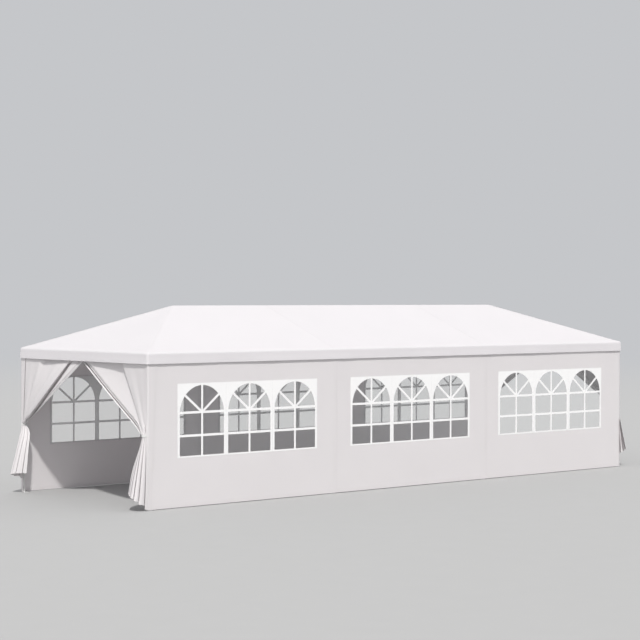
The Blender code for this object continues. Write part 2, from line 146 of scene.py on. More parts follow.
# Door flaps. The levels on their cloth, from the rail down to the hem
LEVELS = AT_RAIL, AT_SPLIT, AT_TIE, AT_HEM = 0, 1, 2, 3
SPLIT_HEIGHT = 1.775
TIE_HEIGHT = 0.91
FLAP_PLANE = LEG_X + FITTING_REACH + SOLID_CLOTH / 2
LAP_TOP = 0.158
LAP_BOTTOM = 0.052
DOOR_LAP_GAP = 0.006
ARC_SHARE = 0.2
BUNDLE_ARCH = 0.030
HEM_OUT = 0.07
HEM_BULGE = 0.36
HEM_LEAN = 0.05
HEM_RISE_POWER = 0.8
HEM_JAG = 0.020
HEM_GAP = 0.0004
TUCK_DEPTH = 0.05
RUN_STEP = 0.001

# The two kinds of door flap: a lapping flap's cloth goes on round the corner over the side wall, and a
# covered flap starts under a wall's lap. fold_at is where the fold shows, as a share of what shows. Past it
# the cloth steps back within step_share of the rest. streak is how far the streaks before it stand out. turns
# are the shares of the cloth where it turns under, turns back and comes out again, at that fold and at the
# band along the zip, and hidden is how the hidden cloth is shared between them. A crease is its distance from
# the zip's edge, or past the fold, with its width and its depth.
LAPPING = SimpleNamespace(
    side=-1, corner=WALL_PLANE + SOLID_CLOTH + AIR_GAP, bundle=0.095 - CORNER_RADIUS, leg_room=0.10,
    hem_reach=0.235, quickness=2.0, fold_at=0.38, step_share=0.06, streak=0.003,
    turns=((0.24, 0.30, 0.36), (0.70, 0.80, 0.90)), hidden=(0.4, 0.6),
    edge_creases=((0.040, 0.024, 0.045), (0.083, 0.013, 0.018)), fold_crease=(0.008, 0.014, 0.030),
)
COVERED = SimpleNamespace(
    side=1, corner=WALL_PLANE, bundle=0.028, leg_room=0.0,
    hem_reach=0.185, quickness=3.5, fold_at=0.78, step_share=0.08, streak=0.007,
    turns=((0.46, 0.60, 0.74), (0.86, 0.89, 0.92)), hidden=(0.8, 0.2),
    edge_creases=((0.020, 0.011, 0.014), (0.040, 0.009, 0.012)), fold_crease=(0.026, 0.046, 0.050),
)
BELLY_LEAN = 1.13
EDGE_BAND_START = 0.55
LEAST_FOLD = 0.004
LEAST_LAYER_GAP = 0.0013
TURN_SHARE = 0.005
GATHER_LEVELS = 0.15
CREASE_SHARE = 0.045
CREASE_STEP = 1 / 400
COLUMN_STEP = 1 / 120
CREASE_FLAT, CREASE_SLOPE = 0.25, 0.35
STREAKS = ((1.0, 3.2, 0.15), (0.6, 6.7, 0.4))
STREAK_FADE = 0.08
STEP_LEAST, STEP_MORE = 0.006, 0.022
CORNER_TUCK = 0.007
COVERED_TUCK_START = 0.26
PLEAT_START = 0.75
PLEAT_DEEPENS = 0.35
PLEAT_CREST = 0.4
PLEAT_SHARE = 0.7
PLEAT_MOUTH = 0.10
ZIP_TAPE_SHARE, ZIP_TAPE_END = 0.972, 0.998
ZIP_COIL_SHARE, ZIP_COIL_REACH = 0.996, 0.004
ZIP_SIDES = 8
STRAP_SHARES = (0.02, 0.15, 0.32, 0.50, 0.68, 0.85, 0.98)
STRAP_GAP = 0.003
STRAP_BEND = 0.012
STRAP_PLAY = 0.004

# Finishes
WEAVE_PITCH = 0.003
CLOTH_THROUGH = 0.22
WINDOW_THROUGH = 0.12
STITCH_INSET, STITCH_THREAD, STITCH_PITCH, STITCH_SHARE = 0.004, 0.0007, 0.0045, 0.68
COIL_PITCH = 0.002
FILM_CLEARNESS, FILM_EDGE_COVER = 0.98, 0.30

# Stage
IMAGE_SIDE = 640
SENSOR_WIDTH = 36.0
VIEW_END = 900.0
FLOOR_RADIUS = 400.0
FLOOR_FADE = (9.0, 60.0)
SKY_COLOUR = (0.97, 0.98, 1.0, 1)
SUN_COLOUR = (1.0, 0.985, 0.96)


def clamp(value):
    """The value, kept from 0 to 1."""
    return max(0.0, min(1.0, value))


def smooth(value):
    """A soft step, from 0 to 1 while the value goes from 0 to 1."""
    value = clamp(value)
    return value * value * (3 - 2 * value)


def ripple(*place):
    """A soft random wave, the same each run."""
    return noise.noise(Vector(place))


def spaced(stops, *steps):
    """Places from the first stop to the last that keep every stop. Each stretch has its own widest step,
    and the last step given serves for the stretches after it."""
    places = [stops[0]]
    for n, (low, high) in enumerate(zip(stops, stops[1:])):
        step = steps[min(n, len(steps) - 1)]
        count = max(1, math.ceil((high - low) / step - 1e-6))
        places += [low + (high - low) * k / count for k in range(1, count + 1)]
    return places


def along_stops(stops, value):
    """The second value of the stops at a first value, straight from stop to stop."""
    for (start, low), (end, high) in zip(stops, stops[1:]):
        if value <= end:
            return low + (high - low) * (value - start) / (end - start)
    return stops[-1][1]


def bezier(start, control, end, t):
    return start * (1 - t) ** 2 + 2 * control * t * (1 - t) + end * t * t


def through(points, along):
    """A place on the smooth curve through the points, where along counts them."""
    index = min(len(points) - 2, int(along))
    before, start, end, after = (points[max(0, min(len(points) - 1, index + k))] for k in (-1, 0, 1, 2))
    t = along - index
    square = before * 2 - start * 5 + end * 4 - after
    cube = start * 3 - before - end * 3 + after
    return (start * 2 + (end - before) * t + square * t**2 + cube * t**3) / 2


def turned(point, turn):
    """The point itself, or where half a turn about Z puts it when turn is -1."""
    return Vector((point[0] * turn, point[1] * turn, point[2]))


def cloth_grid(shape, columns, rows, place, flat_place=None):
    """Add a sheet to the bmesh: a grid with its lines at columns and rows, each crossing moved by place.
    Its UV map is the flat cut in metres: the crossing's column and row, or what flat_place makes of them."""
    made = bmesh.ops.create_grid(shape, x_segments=len(columns) - 1, y_segments=len(rows) - 1, size=1.0)
    flat = shape.loops.layers.uv.verify()
    spots = {}
    for vertex in made["verts"]:
        column = round((vertex.co.x + 1) / 2 * (len(columns) - 1))
        row = round((vertex.co.y + 1) / 2 * (len(rows) - 1))
        spots[vertex] = (columns[column], rows[row])
    for face in {face for vertex in spots for face in vertex.link_faces}:
        for loop in face.loops:
            spot = spots[loop.vert]
            loop[flat].uv = flat_place(*spot) if flat_place else spot
    for vertex, spot in spots.items():
        vertex.co = place(*spot)
    return spots


def lifted(place, lift, probe=0.002):
    """The surface of place, moved along its own normal by lift."""

    def moved(across, along):
        run = place(across + probe, along) - place(across - probe, along)
        rise = place(across, along + probe) - place(across, along - probe)
        return place(across, along) + run.cross(rise).normalized() * lift

    return moved


def close_up(shape):
    """Weld what meets, and turn the faces outwards."""
    bmesh.ops.remove_doubles(shape, verts=shape.verts, dist=SAME_PLACE)
    bmesh.ops.recalc_face_normals(shape, faces=shape.faces)


def new_object(name, shape, material):
    mesh = bpy.data.meshes.new(name)
    shape.to_mesh(mesh)
    shape.free()
    mesh.materials.append(material)
    made = bpy.data.objects.new(name, mesh)
    bpy.context.scene.collection.objects.link(made)
    return made


def show(name, shape, material, thickness=0.0, sharp=50):
    """Make the bmesh a finished piece at the origin that rides on the tent. A sheet's rim stays sharp."""
    shape.edges.index_update()
    rim = [edge.index for edge in shape.edges if edge.is_boundary]
    piece = new_object(name, shape, material)
    piece.data.shade_smooth()
    piece.data.set_sharp_from_angle(angle=math.radians(sharp))
    for index in rim:
        piece.data.edges[index].use_edge_sharp = True
    if thickness:
        solid = piece.modifiers.new("thickness", "SOLIDIFY")
        solid.thickness = thickness
        solid.offset = 0.0
    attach(piece, BODY)
    return piece


# Finishes


def shade(colour, share=1):
    """The colour times a share, as a shader's four numbers."""
    return (*(part * share for part in colour[:3]), 1)


class Nodes:
    """The nodes of a material or a world, with short ways to add to them. place is the object's own place, or
    the UV map's."""

    def __init__(self, owner, mapped="Object"):
        owner.use_nodes = True
        self.owner = owner
        self.tree = owner.node_tree
        self.shader = self.tree.nodes.get("Principled BSDF")
        self.place = self.add("UVMap" if mapped == "UV" else "TexCoord").outputs[mapped]

    def add(self, kind, values=None, **settings):
        """A new node with its settings. Each input's value is a number, a colour or a socket to link."""
        node = self.tree.nodes.new(f"ShaderNode{kind}")
        for name, value in settings.items():
            setattr(node, name, value)
        self.feed(node, values or {})
        return node

    def feed(self, node, values):
        for name, value in values.items():
            if isinstance(value, bpy.types.NodeSocket):
                self.tree.links.new(value, node.inputs[name])
            else:
                node.inputs[name].default_value = value

    def math(self, operation, *values):
        return self.add("Math", dict(enumerate(values)), operation=operation).outputs[0]

    def noise(self, scale, detail=2.0):
        return self.add("TexNoise", {"Vector": self.place, "Scale": scale, "Detail": detail}).outputs["Fac"]

    def ranged(self, value, low, high):
        return self.add("MapRange", {"Value": value, "To Min": low, "To Max": high}).outputs["Result"]

    def bands(self, direction, pitch):
        """Soft ribs across a direction, one rib for each pitch."""
        values = {"Vector": self.place, "Scale": math.pi / 10 / pitch}
        return self.add("TexWave", values, wave_type="BANDS", bands_direction=direction).outputs["Fac"]

    def weave(self):
        """Flat tapes over and under each other."""
        return self.math("MAXIMUM", self.bands("X", WEAVE_PITCH), self.bands("Y", WEAVE_PITCH))

    def mixed(self, share, first, second):
        return self.add("Mix", {0: share, 6: first, 7: second}, data_type="RGBA").outputs[2]

    def tinted(self, value, colour, darkest):
        """The colour, times a value that runs from darkest to one."""
        return self.mixed(value, shade(colour, darkest), shade(colour))

    def surface(self, colour, roughness, height, depth, strength, specular=0.5):
        """Feed the shader its colour and roughness, and a relief of this depth."""
        relief = self.add("Bump", {"Height": height, "Distance": depth, "Strength": strength})
        self.feed(self.shader, {
            "Base Color": colour, "Roughness": roughness, "Specular IOR Level": specular,
            "Normal": relief.outputs["Normal"],
        })

    def end_with(self, share, first, second, output="Material Output"):
        """Send a mix of two shaders to the output."""
        mix = self.add("MixShader", {0: share, 1: first, 2: second})
        self.tree.links.new(mix.outputs[0], self.tree.nodes[output].inputs["Surface"])

    def let_light_through(self, colour, share):
        """Let a share of the light on the sheet's other side come through it."""
        lit = self.add("BsdfTranslucent", {"Color": shade(colour)})
        self.end_with(share, self.shader.outputs[0], lit.outputs[0])


def new_finish(name, mapped="Object"):
    return Nodes(bpy.data.materials.new(name), mapped)


def woven_cloth(name, colour, roughness):
    """Coated woven cloth, with a soft uneven tone and sheen."""
    cloth = new_finish(name, "UV")
    fine = cloth.noise(55.0, 3.0)
    tone = cloth.math("MULTIPLY_ADD", fine, 0.35, cloth.noise(1.4, 3.0))
    cloth.surface(
        cloth.tinted(cloth.ranged(tone, -0.2, 1.0), colour, 0.965),
        cloth.ranged(fine, roughness - 0.06, roughness + 0.08),
        cloth.math("MULTIPLY_ADD", fine, 0.5, cloth.weave()), 0.00012, 0.6, specular=0.35,
    )
    cloth.let_light_through(colour, CLOTH_THROUGH)
    return cloth.owner


def stitched_tape(name, colour, roughness, width):
    """A folded band of cloth with a row of stitches by each edge. Its UV runs along it in X, and across it
    from one edge in Y."""
    tape = new_finish(name, "UV")
    along, across, _ = tape.add("SeparateXYZ", {0: tape.place}).outputs
    from_middle = tape.math("ABSOLUTE", tape.math("SUBTRACT", across, width / 2))
    off_row = tape.math("ABSOLUTE", tape.math("SUBTRACT", from_middle, width / 2 - STITCH_INSET))
    in_pitch = tape.math("FRACT", tape.math("DIVIDE", along, STITCH_PITCH))
    on_stitch = tape.math("LESS_THAN", in_pitch, STITCH_SHARE)
    stitch = tape.math("MULTIPLY", tape.math("LESS_THAN", off_row, STITCH_THREAD), on_stitch)
    fine = tape.noise(70.0, 3.0)
    tape.surface(
        tape.mixed(stitch, tape.tinted(fine, colour, 0.95), shade(colour, 0.93)),
        tape.ranged(fine, roughness - 0.05, roughness + 0.08),
        tape.math("MULTIPLY_ADD", stitch, 3.0, tape.weave()), 0.00015, 0.7, specular=0.35,
    )
    tape.let_light_through(colour, CLOTH_THROUGH)
    return tape.owner


def webbing(name, colour):
    """Woven strap: a herringbone of narrow ribs across its length, with painted shade darkening its colour in
    the grooves between the ribs.
    """
    strap = new_finish(name)
    ribs = strap.math("MULTIPLY", strap.bands("Z", 0.0022), strap.bands("DIAGONAL", 0.0030))
    fuzz = strap.ranged(strap.noise(300.0), 0.6, 0.85)
    # painted shade: the colour darkens to 0.86 of the strap's tone where the ribs are low, in the grooves
    strap.surface(strap.tinted(ribs, colour, 0.86), fuzz, ribs, 0.0004, 0.8)
    return strap.owner


def zip_coil(name, colour):
    """The zip's white plastic coil, with a rib for each turn along it, and painted shade darkening its colour
    between the turns.
    """
    coil = new_finish(name, "UV")
    turns = coil.bands("X", COIL_PITCH)
    # painted shade: the colour darkens to 0.80 of the coil's white between the turns, where the relief is low
    coil.surface(coil.tinted(turns, colour, 0.80), coil.ranged(turns, 0.40, 0.28), turns, 0.0006, 0.9)
    return coil.owner


def powder_coat(name, colour):
    """White powder coat on steel: a fine orange peel, a little uneven in gloss."""
    coat = new_finish(name)
    broad = coat.noise(6.0, 3.0)
    coat.surface(
        coat.tinted(broad, colour, 0.94), coat.ranged(broad, 0.28, 0.44), coat.noise(420.0), 0.0002, 0.35
    )
    return coat.owner


def window_white(name, colour):
    """The white sheet that is welded on the clear film: smooth, bright and faintly grained."""
    sheet = new_finish(name)
    grain = sheet.noise(160.0, 3.0)
    sheet.surface(sheet.tinted(grain, colour, 0.975), sheet.ranged(grain, 0.34, 0.50), grain, 0.0001, 0.4)
    sheet.let_light_through(colour, WINDOW_THROUGH)
    return sheet.owner


def clear_film(name, colour):
    """Clear flexible film: it hides more at a low angle, with faint scuffs in its gloss."""
    film = new_finish(name)
    waves, scuffs = film.noise(7.0), film.noise(90.0, 4.0)
    film.surface(film.tinted(waves, colour, 0.92), film.ranged(scuffs, 0.03, 0.14), waves, 0.002, 0.5)
    edge = film.add("LayerWeight", {"Blend": 0.25}).outputs["Facing"]
    film.feed(film.shader, {"Alpha": film.ranged(edge, 1 - FILM_CLEARNESS, FILM_EDGE_COVER), "IOR": 1.5})
    return film.owner


# Canopy


def over_support(distance):
    """How far the cloth may sag at a distance from the line that carries it, from 0 to 1."""
    clear = math.hypot(distance, SUPPORT_ROUNDING) - SUPPORT_ROUNDING
    return 1 - math.exp(-clear / SUPPORT_REACH)


class Canopy:
    """The surface of the roof and its valance. Its rim is the line in plan where the slope ends and the bend
    down to the valance starts."""

    def __init__(self, sizes):
        self.sizes = sizes
        inset = sizes.eave_bend * (1 - math.sin(SLOPE_ANGLE)) + sizes.cloth_thickness / 2
        self.half_x, self.half_y = HALF_LENGTH - inset, HALF_WIDTH - inset
        edge_x, edge_y = self.half_x - RIM_CORNER, self.half_y - RIM_CORNER
        self.edge_x, self.edge_y = edge_x, edge_y
        self.bend_length = sizes.eave_bend * (math.pi / 2 - SLOPE_ANGLE)
        quarter = RIM_CORNER * math.pi / 2
        self.runs = (
            (edge_y, (-self.half_x, 0), (0, -1)),
            (quarter, (-edge_x, -edge_y), math.pi),
            (2 * edge_x, (-edge_x, -self.half_y), (1, 0)),
            (quarter, (edge_x, -edge_y), math.pi * 1.5),
            (2 * edge_y, (self.half_x, -edge_y), (0, 1)),
            (quarter, (edge_x, edge_y), 0.0),
            (2 * edge_x, (edge_x, self.half_y), (-1, 0)),
            (quarter, (-edge_x, edge_y), math.pi / 2),
            (edge_y, (-self.half_x, edge_y), (0, -1)),
        )
        self.stops = list(itertools.accumulate((run[0] for run in self.runs), initial=0.0))

    def height(self, x, y):
        """Height of the cloth's middle over a place in plan: four slopes, rounded over ridge and hips, that
        sag between the tubes and the eaves."""
        x, y = abs(x), abs(y)
        side = RIDGE_TOP - SIDE_SLOPE * math.hypot(y, RIDGE_ROUNDING)
        end = EAVE_TOP + END_SLOPE * (HALF_LENGTH - x)
        blend = max(HIP_ROUNDING - abs(side - end), 0.0) / HIP_ROUNDING
        height = min(side, end) - blend * blend * HIP_ROUNDING / 4 + ROOF_LIFT
        hip_run = (LEG_X - RIDGE_HALF) / LEG_Y
        slack = over_support(abs(x - RIDGE_HALF - hip_run * y) / math.hypot(1, hip_run))
        if side < end:
            slack *= over_support(y) * over_support(LEG_Y - y) * over_support(abs(x - MIDDLE_LEG_X))
        else:
            slack *= over_support(LEG_X - x)
        return height - self.sizes.roof_sag * slack * (1 + 0.1 * ripple(x * 3.1, y * 3.7, 4.0))

    def on_roof(self, x, y, lift=0.0):
        return Vector((x, y, self.height(x, y) + lift))

    def over_plan(self, x, y):
        """The roof over a place in the plan rectangle, moved so that the rectangle's corners are round."""
        past_x, past_y = abs(x) - self.edge_x, abs(y) - self.edge_y
        if past_x > 0 and past_y > 0:
            pull = max(past_x, past_y) / math.hypot(past_x, past_y)
            x = math.copysign(self.edge_x + past_x * pull, x)
            y = math.copysign(self.edge_y + past_y * pull, y)
        return self.on_roof(x, y)

    def outwards(self, x, y):
        """The plan direction away from the tent at a place on the rim."""
        past_x, past_y = max(0.0, abs(x) - self.edge_x), max(0.0, abs(y) - self.edge_y)
        return Vector((math.copysign(past_x, x), math.copysign(past_y, y), 0)).normalized()

    def below(self, x, y, down):
        """The point of the cloth that hangs from rim place (x, y), a length down past the rim."""
        bend = self.sizes.eave_bend
        angle = SLOPE_ANGLE + (math.pi / 2 - SLOPE_ANGLE) * min(down / self.bend_length, 1.0)
        drop = bend * (math.cos(SLOPE_ANGLE) - math.cos(angle))
        past = max(0.0, down - self.bend_length)
        swing = ripple(x * 1.5, y * 1.5, 7.3) + 0.5 * ripple(x * 3.6, y * 3.6, 2.1)
        flare = self.sizes.valance_flare + self.sizes.valance_wave * swing
        out = bend * (math.sin(angle) - math.sin(SLOPE_ANGLE))
        out += flare * min(1.0, past / self.valance_length(x, y)) ** 1.3
        return self.on_roof(x, y, -drop - past) + self.outwards(x, y) * out

    def valance_length(self, x, y):
        """Length of cloth from the end of the bend to the valance's bottom edge."""
        return self.height(x, y) - self.sizes.eave_bend * math.cos(SLOPE_ANGLE) - VALANCE_BOTTOM

    def length_below(self, x, y):
        return self.bend_length + self.valance_length(x, y)

    def at(self, along):
        """The rim place at a distance along it, counted from the middle of the left end towards the front."""
        for length, (x, y), way in self.runs:
            if along <= length + 1e-6:
                break
            along -= length
        if isinstance(way, tuple):
            return x + way[0] * along, y + way[1] * along
        angle = way + along / RIM_CORNER
        return x + RIM_CORNER * math.cos(angle), y + RIM_CORNER * math.sin(angle)


def build_canopy(canopy, material):
    """The roof and the valance: one sheet, from a grid in plan whose edge is extruded round the eaves."""
    shape = bmesh.new()
    edge_x, edge_y = canopy.edge_x, canopy.edge_y
    columns = spaced(
        [-canopy.half_x, -edge_x, EAVE_STRIP - edge_x, edge_x - EAVE_STRIP, edge_x, canopy.half_x],
        RIM_STEP, EAVE_STEP, ROOF_STEP_X, EAVE_STEP, RIM_STEP,
    )
    half_rows = [RIDGE_STRIP, edge_y - EAVE_STRIP, edge_y, canopy.half_y]
    rows = spaced(
        [-row for row in reversed(half_rows)] + [0.0] + half_rows,
        RIM_STEP, EAVE_STEP, ROOF_STEP_Y, RIDGE_STEP, RIDGE_STEP, ROOF_STEP_Y, EAVE_STEP, RIM_STEP,
    )
    cloth_grid(shape, columns, rows, canopy.over_plan)
    flat = shape.loops.layers.uv.verify()
    ring = {vertex: vertex.co.xy.to_tuple() for vertex in shape.verts if vertex.is_boundary}
    edges = [edge for edge in shape.edges if edge.is_boundary]
    for step in range(1, BEND_RINGS + VALANCE_RINGS + 1):
        made = bmesh.ops.extrude_edge_only(shape, edges=edges)["geom"]
        edges = [item for item in made if isinstance(item, bmesh.types.BMEdge)]
        fresh = {}
        for vertex in made:
            if isinstance(vertex, bmesh.types.BMVert):
                above = (edge.other_vert(vertex) for edge in vertex.link_edges)
                fresh[vertex] = next(ring[other] for other in above if other in ring)
        for vertex, (x, y) in fresh.items():
            on_valance = max(0, step - BEND_RINGS) / VALANCE_RINGS
            down = canopy.bend_length * min(1, step / BEND_RINGS) + canopy.valance_length(x, y) * on_valance
            vertex.co = canopy.below(x, y, down)
        for face in made:
            if isinstance(face, bmesh.types.BMFace):
                for loop in face.loops:
                    x, y = fresh.get(loop.vert) or ring[loop.vert]
                    depth = EAVE_TOP - loop.vert.co.z + 0.03
                    away = canopy.outwards(x, y)
                    loop[flat].uv = (x + away.x * depth, y + away.y * depth)
        ring = fresh
    bmesh.ops.recalc_face_normals(shape, faces=shape.faces)
    return show("canopy", shape, material, canopy.sizes.cloth_thickness)


def build_valance_hem(canopy, material):
    """The doubled hem round the valance's bottom edge."""
    sizes = canopy.sizes
    shape = bmesh.new()

    def place(along, up):
        x, y = canopy.at(along)
        out = canopy.outwards(x, y) * (sizes.cloth_thickness + AIR_GAP)
        return canopy.below(x, y, canopy.length_below(x, y) - up) + out

    columns = spaced(canopy.stops, *([SEAM_STEP, RIM_STEP] * 4), SEAM_STEP)
    cloth_grid(shape, columns, [-HEM_PAST, sizes.hem_width / 2, sizes.hem_width], place)
    bmesh.ops.remove_doubles(shape, verts=shape.verts, dist=SAME_PLACE)
    return show("valance_hem", shape, material, sizes.cloth_thickness * 0.8)


def build_roof_seams(canopy, material):
    """The canopy's doubled seams: along the ridge, over the inner rafters, down the hips and the corners."""
    shape = bmesh.new()
    half = canopy.sizes.seam_width / 2
    lift = canopy.sizes.cloth_thickness * 0.9 + AIR_GAP

    def on_roof(x, y):
        return canopy.on_roof(x, y, lift)

    ridge_end = RIDGE_HALF - 2 * half
    over_ridge = [half * share for share in (-1, -0.5, -0.25, 0, 0.25, 0.5, 1)]
    cloth_grid(
        shape, spaced([-ridge_end, ridge_end], SEAM_STEP), over_ridge, on_roof, lambda x, y: (x, y + half)
    )
    for x, side in itertools.product((-MIDDLE_LEG_X, MIDDLE_LEG_X), (-1, 1)):
        ends = sorted((side * half * 1.2, side * (canopy.half_y - RAFTER_SEAM_SHORT)))
        rows = spaced(ends, ROOF_STEP_Y)
        columns = [x - half, x, x + half]
        cloth_grid(shape, columns, rows, on_roof, lambda at, y, first=x - half: (y, at - first))
    run = Vector((canopy.half_x - RIM_CORNER / 2 - RIDGE_HALF, canopy.half_y - RIM_CORNER / 2))
    way = run.normalized()
    for side_x, side_y in itertools.product((-1, 1), (-1, 1)):

        def on_hip(across, along):
            x = RIDGE_HALF + way.x * along - way.y * across
            y = way.y * along + way.x * across
            return on_roof(side_x * x, side_y * y)

        over_hip = [half * share for share in (-1, -1 / 3, 0, 1 / 3, 1)]
        rows = spaced([HIP_SEAM_START, run.length], ROOF_STEP_Y)
        cloth_grid(shape, over_hip, rows, on_hip, lambda across, along: (along, across + half))

    def on_corner(along, down):
        return canopy.below(*canopy.at(along), down)

    for start, end in zip(canopy.stops[1::2], canopy.stops[2::2]):
        length = canopy.length_below(*canopy.at(start)) - canopy.sizes.hem_width
        stops = [start - CORNER_SEAM_OVER, start, end, end + CORNER_SEAM_OVER]
        columns = spaced(stops, CORNER_SEAM_OVER, RIM_STEP, CORNER_SEAM_OVER)
        rows = spaced([0.0, canopy.bend_length, length], canopy.bend_length / BEND_RINGS, VALANCE_STEP)
        over_corner = lifted(on_corner, -lift, 0.001)
        cloth_grid(shape, columns, rows, over_corner, lambda along, down, first=start: (down, along - first))
    bmesh.ops.recalc_face_normals(shape, faces=shape.faces)
    return show("roof_seams", shape, material, canopy.sizes.cloth_thickness * 0.8)


# Walls


def door_lap_width(height):
    """How far a long wall's lap covers the end wall at a height."""
    above_tie = max(0.0, height - TIE_HEIGHT) / (WALL_TOP - TIE_HEIGHT)
    return DOOR_LAP_TIE + (DOOR_LAP_TOP - DOOR_LAP_TIE) * above_tie


class Wall:
    """One long wall. A place on its cloth is its distance across, from the window's middle and on round the
    corner, and its height."""

    def __init__(self, bay, turn, sizes):
        self.bay, self.turn, self.sizes = bay, turn, sizes
        self.name = f"front_wall_{bay + 1}" if turn == 1 else f"back_wall_{3 - bay}"
        self.centre = centre = WINDOW_CENTRES[bay]
        self.next_wall = (-MIDDLE_LEG_X, MIDDLE_LEG_X, HALF_LENGTH)[bay]
        self.arc_start = WALL_LAP_PLANE - CORNER_RADIUS - centre
        self.start, self.end = (
            (-LEG_X - centre, -MIDDLE_LEG_X + WALL_LAP - centre),
            (-WALL_HALF, MIDDLE_LEG_X + WALL_LAP),
            (WALL_HALF + 2 * AIR_GAP - centre, self.arc_start + QUARTER_ARC + DOOR_LAP_TOP - CORNER_RADIUS),
        )[bay]

    def wave(self, x, height):
        """How far the cloth stands out of its plane. It is flat at the legs and round the windows."""
        beside = max(0.0, abs(x - self.centre) - WINDOW_GROUP_HALF)
        from_window = math.hypot(beside, max(0.0, GROUP_BOTTOM - height, height - GROUP_TOP))
        from_leg = max(0.0, min(abs(abs(x) - MIDDLE_LEG_X) - WALL_LAP, LEG_X - CORNER_LAP - abs(x)))
        free = (1 - math.exp(-from_window / WAVE_FADE_WINDOW)) * (1 - math.exp(-from_leg / WAVE_FADE_LEG))
        swing = ripple(x * 1.9, height * 0.55, 11.0 + self.centre) + 0.25
        swing += 0.4 * ripple(x * 4.6, height * 1.3, 3.0 + self.centre)
        return self.sizes.wall_wave * free * clamp((WALL_TOP - height) / WAVE_FADE_TOP) * swing

    def place(self, across, height):
        past = across - self.arc_start
        if past <= 0 or self.bay != 2:
            x = self.centre + across
            lapping = smooth((x - self.next_wall + LAP_RISE_BEFORE) / LAP_RISE_LENGTH)
            lapping *= 2 * self.sizes.cloth_thickness + AIR_GAP
            return turned((x, -WALL_PLANE - self.wave(x, height) - lapping, height), self.turn)
        if past <= QUARTER_ARC:
            angle = past / CORNER_RADIUS
            x = WALL_LAP_PLANE - CORNER_RADIUS * (1 - math.sin(angle))
            y = -WALL_PLANE + CORNER_RADIUS * (1 - math.cos(angle))
            return turned((x, y, height), self.turn)
        share = (past - QUARTER_ARC) / (DOOR_LAP_TOP - CORNER_RADIUS)
        y = -WALL_PLANE + CORNER_RADIUS + share * (door_lap_width(height) - CORNER_RADIUS)
        return turned((WALL_LAP_PLANE, y, height), self.turn)

    def columns(self):
        hole = WINDOW_GROUP_HALF - WINDOW_LAP
        stops = [self.start, -WINDOW_GROUP_HALF, -hole, hole, WINDOW_GROUP_HALF]
        if self.bay != 2:
            return spaced(stops + [self.end], *WALL_COLUMN_STEPS)
        stops += [self.arc_start, self.arc_start + QUARTER_ARC, self.end]
        return spaced(stops, *WALL_COLUMN_STEPS, CORNER_RADIUS / 4, 0.02)


def build_wall(wall, material):
    """One wall's sheet, with the rectangle cut out of it that the window unit closes."""
    shape = bmesh.new()
    low, high = GROUP_BOTTOM + WINDOW_LAP, GROUP_TOP - WINDOW_LAP
    rows = spaced([WALL_BOTTOM, low, high, WALL_TOP], WALL_STEP)
    spots = cloth_grid(shape, wall.columns(), rows, wall.place)
    cut = []
    for face in shape.faces:
        across, height = (sum(spots[vertex][n] for vertex in face.verts) / len(face.verts) for n in (0, 1))
        if abs(across) < WINDOW_GROUP_HALF - WINDOW_LAP and low < height < high:
            cut.append(face)
    bmesh.ops.delete(shape, geom=cut, context="FACES")
    return show(f"{wall.name}_cloth", shape, material, wall.sizes.cloth_thickness)


def build_wall_hems(wall, material):
    """The stitched hems along a wall's four edges."""
    shape = bmesh.new()
    wide, thick = wall.sizes.hem_width, wall.sizes.cloth_thickness
    place = lifted(wall.place, thick + AIR_GAP)
    for low in (WALL_BOTTOM, WALL_TOP - wide):
        rows = [low, low + wide / 2, low + wide]
        cloth_grid(shape, wall.columns(), rows, place, lambda across, height, low=low: (across, height - low))
    rows = spaced([WALL_BOTTOM + wide, WALL_TOP - wide], WALL_STEP)
    for left in (wall.start, wall.end - wide):
        columns = [left, left + wide / 2, left + wide]
        cloth_grid(shape, columns, rows, place, lambda across, height, left=left: (height, across - left))
    return show(f"{wall.name}_hems", shape, material, thick * 0.8)


def build_wall_loops(wall, material):
    """The webbing loops that hold a wall to the eave rail over it and to the legs beside it."""
    shape = bmesh.new()
    half = wall.sizes.strap_width / 3
    far, near = WALL_PLANE - SOLID_CLOTH / 2 - WINDOW_GAP, LEG_Y - TUBE_RADIUS - LOOP_CLEARANCE
    angles = [2 * math.pi * k / LOOP_SIDES for k in range(LOOP_SIDES + 1)]

    def add_band(x, z, on_rail):
        def on_band(angle, aside):
            y = -(far + near) / 2 - (far - near) / 2 * math.cos(angle)
            swing = (TUBE_RADIUS + LOOP_PLAY) * math.sin(angle)
            return turned((x + aside, y, z + swing) if on_rail else (x + swing, y, z + aside), wall.turn)

        cloth_grid(shape, angles, [-half, half], on_band)

    left, right = (-LEG_X, -MIDDLE_LEG_X, MIDDLE_LEG_X, LEG_X)[wall.bay:wall.bay + 2]
    for x in spaced([left + RAIL_LOOP_INSET, right - RAIL_LOOP_INSET], RAIL_LOOP_SPACING):
        add_band(x, WALL_TOP, True)
    for leg, heights in ((left, LEFT_LOOP_HEIGHTS), (right, RIGHT_LOOP_HEIGHTS)):
        for height in heights:
            add_band(leg, height, False)
    close_up(shape)
    return show(f"{wall.name}_loops", shape, material, wall.sizes.strap_thickness)


# Windows


def add_rectangle(shape, left, right, low, high, plane):
    """A closed loop of four edges."""
    places = ((left, low), (right, low), (right, high), (left, high))
    corners = [shape.verts.new((x, plane, z)) for x, z in places]
    for start, end in zip(corners, corners[1:] + corners[:1]):
        shape.edges.new((start, end))


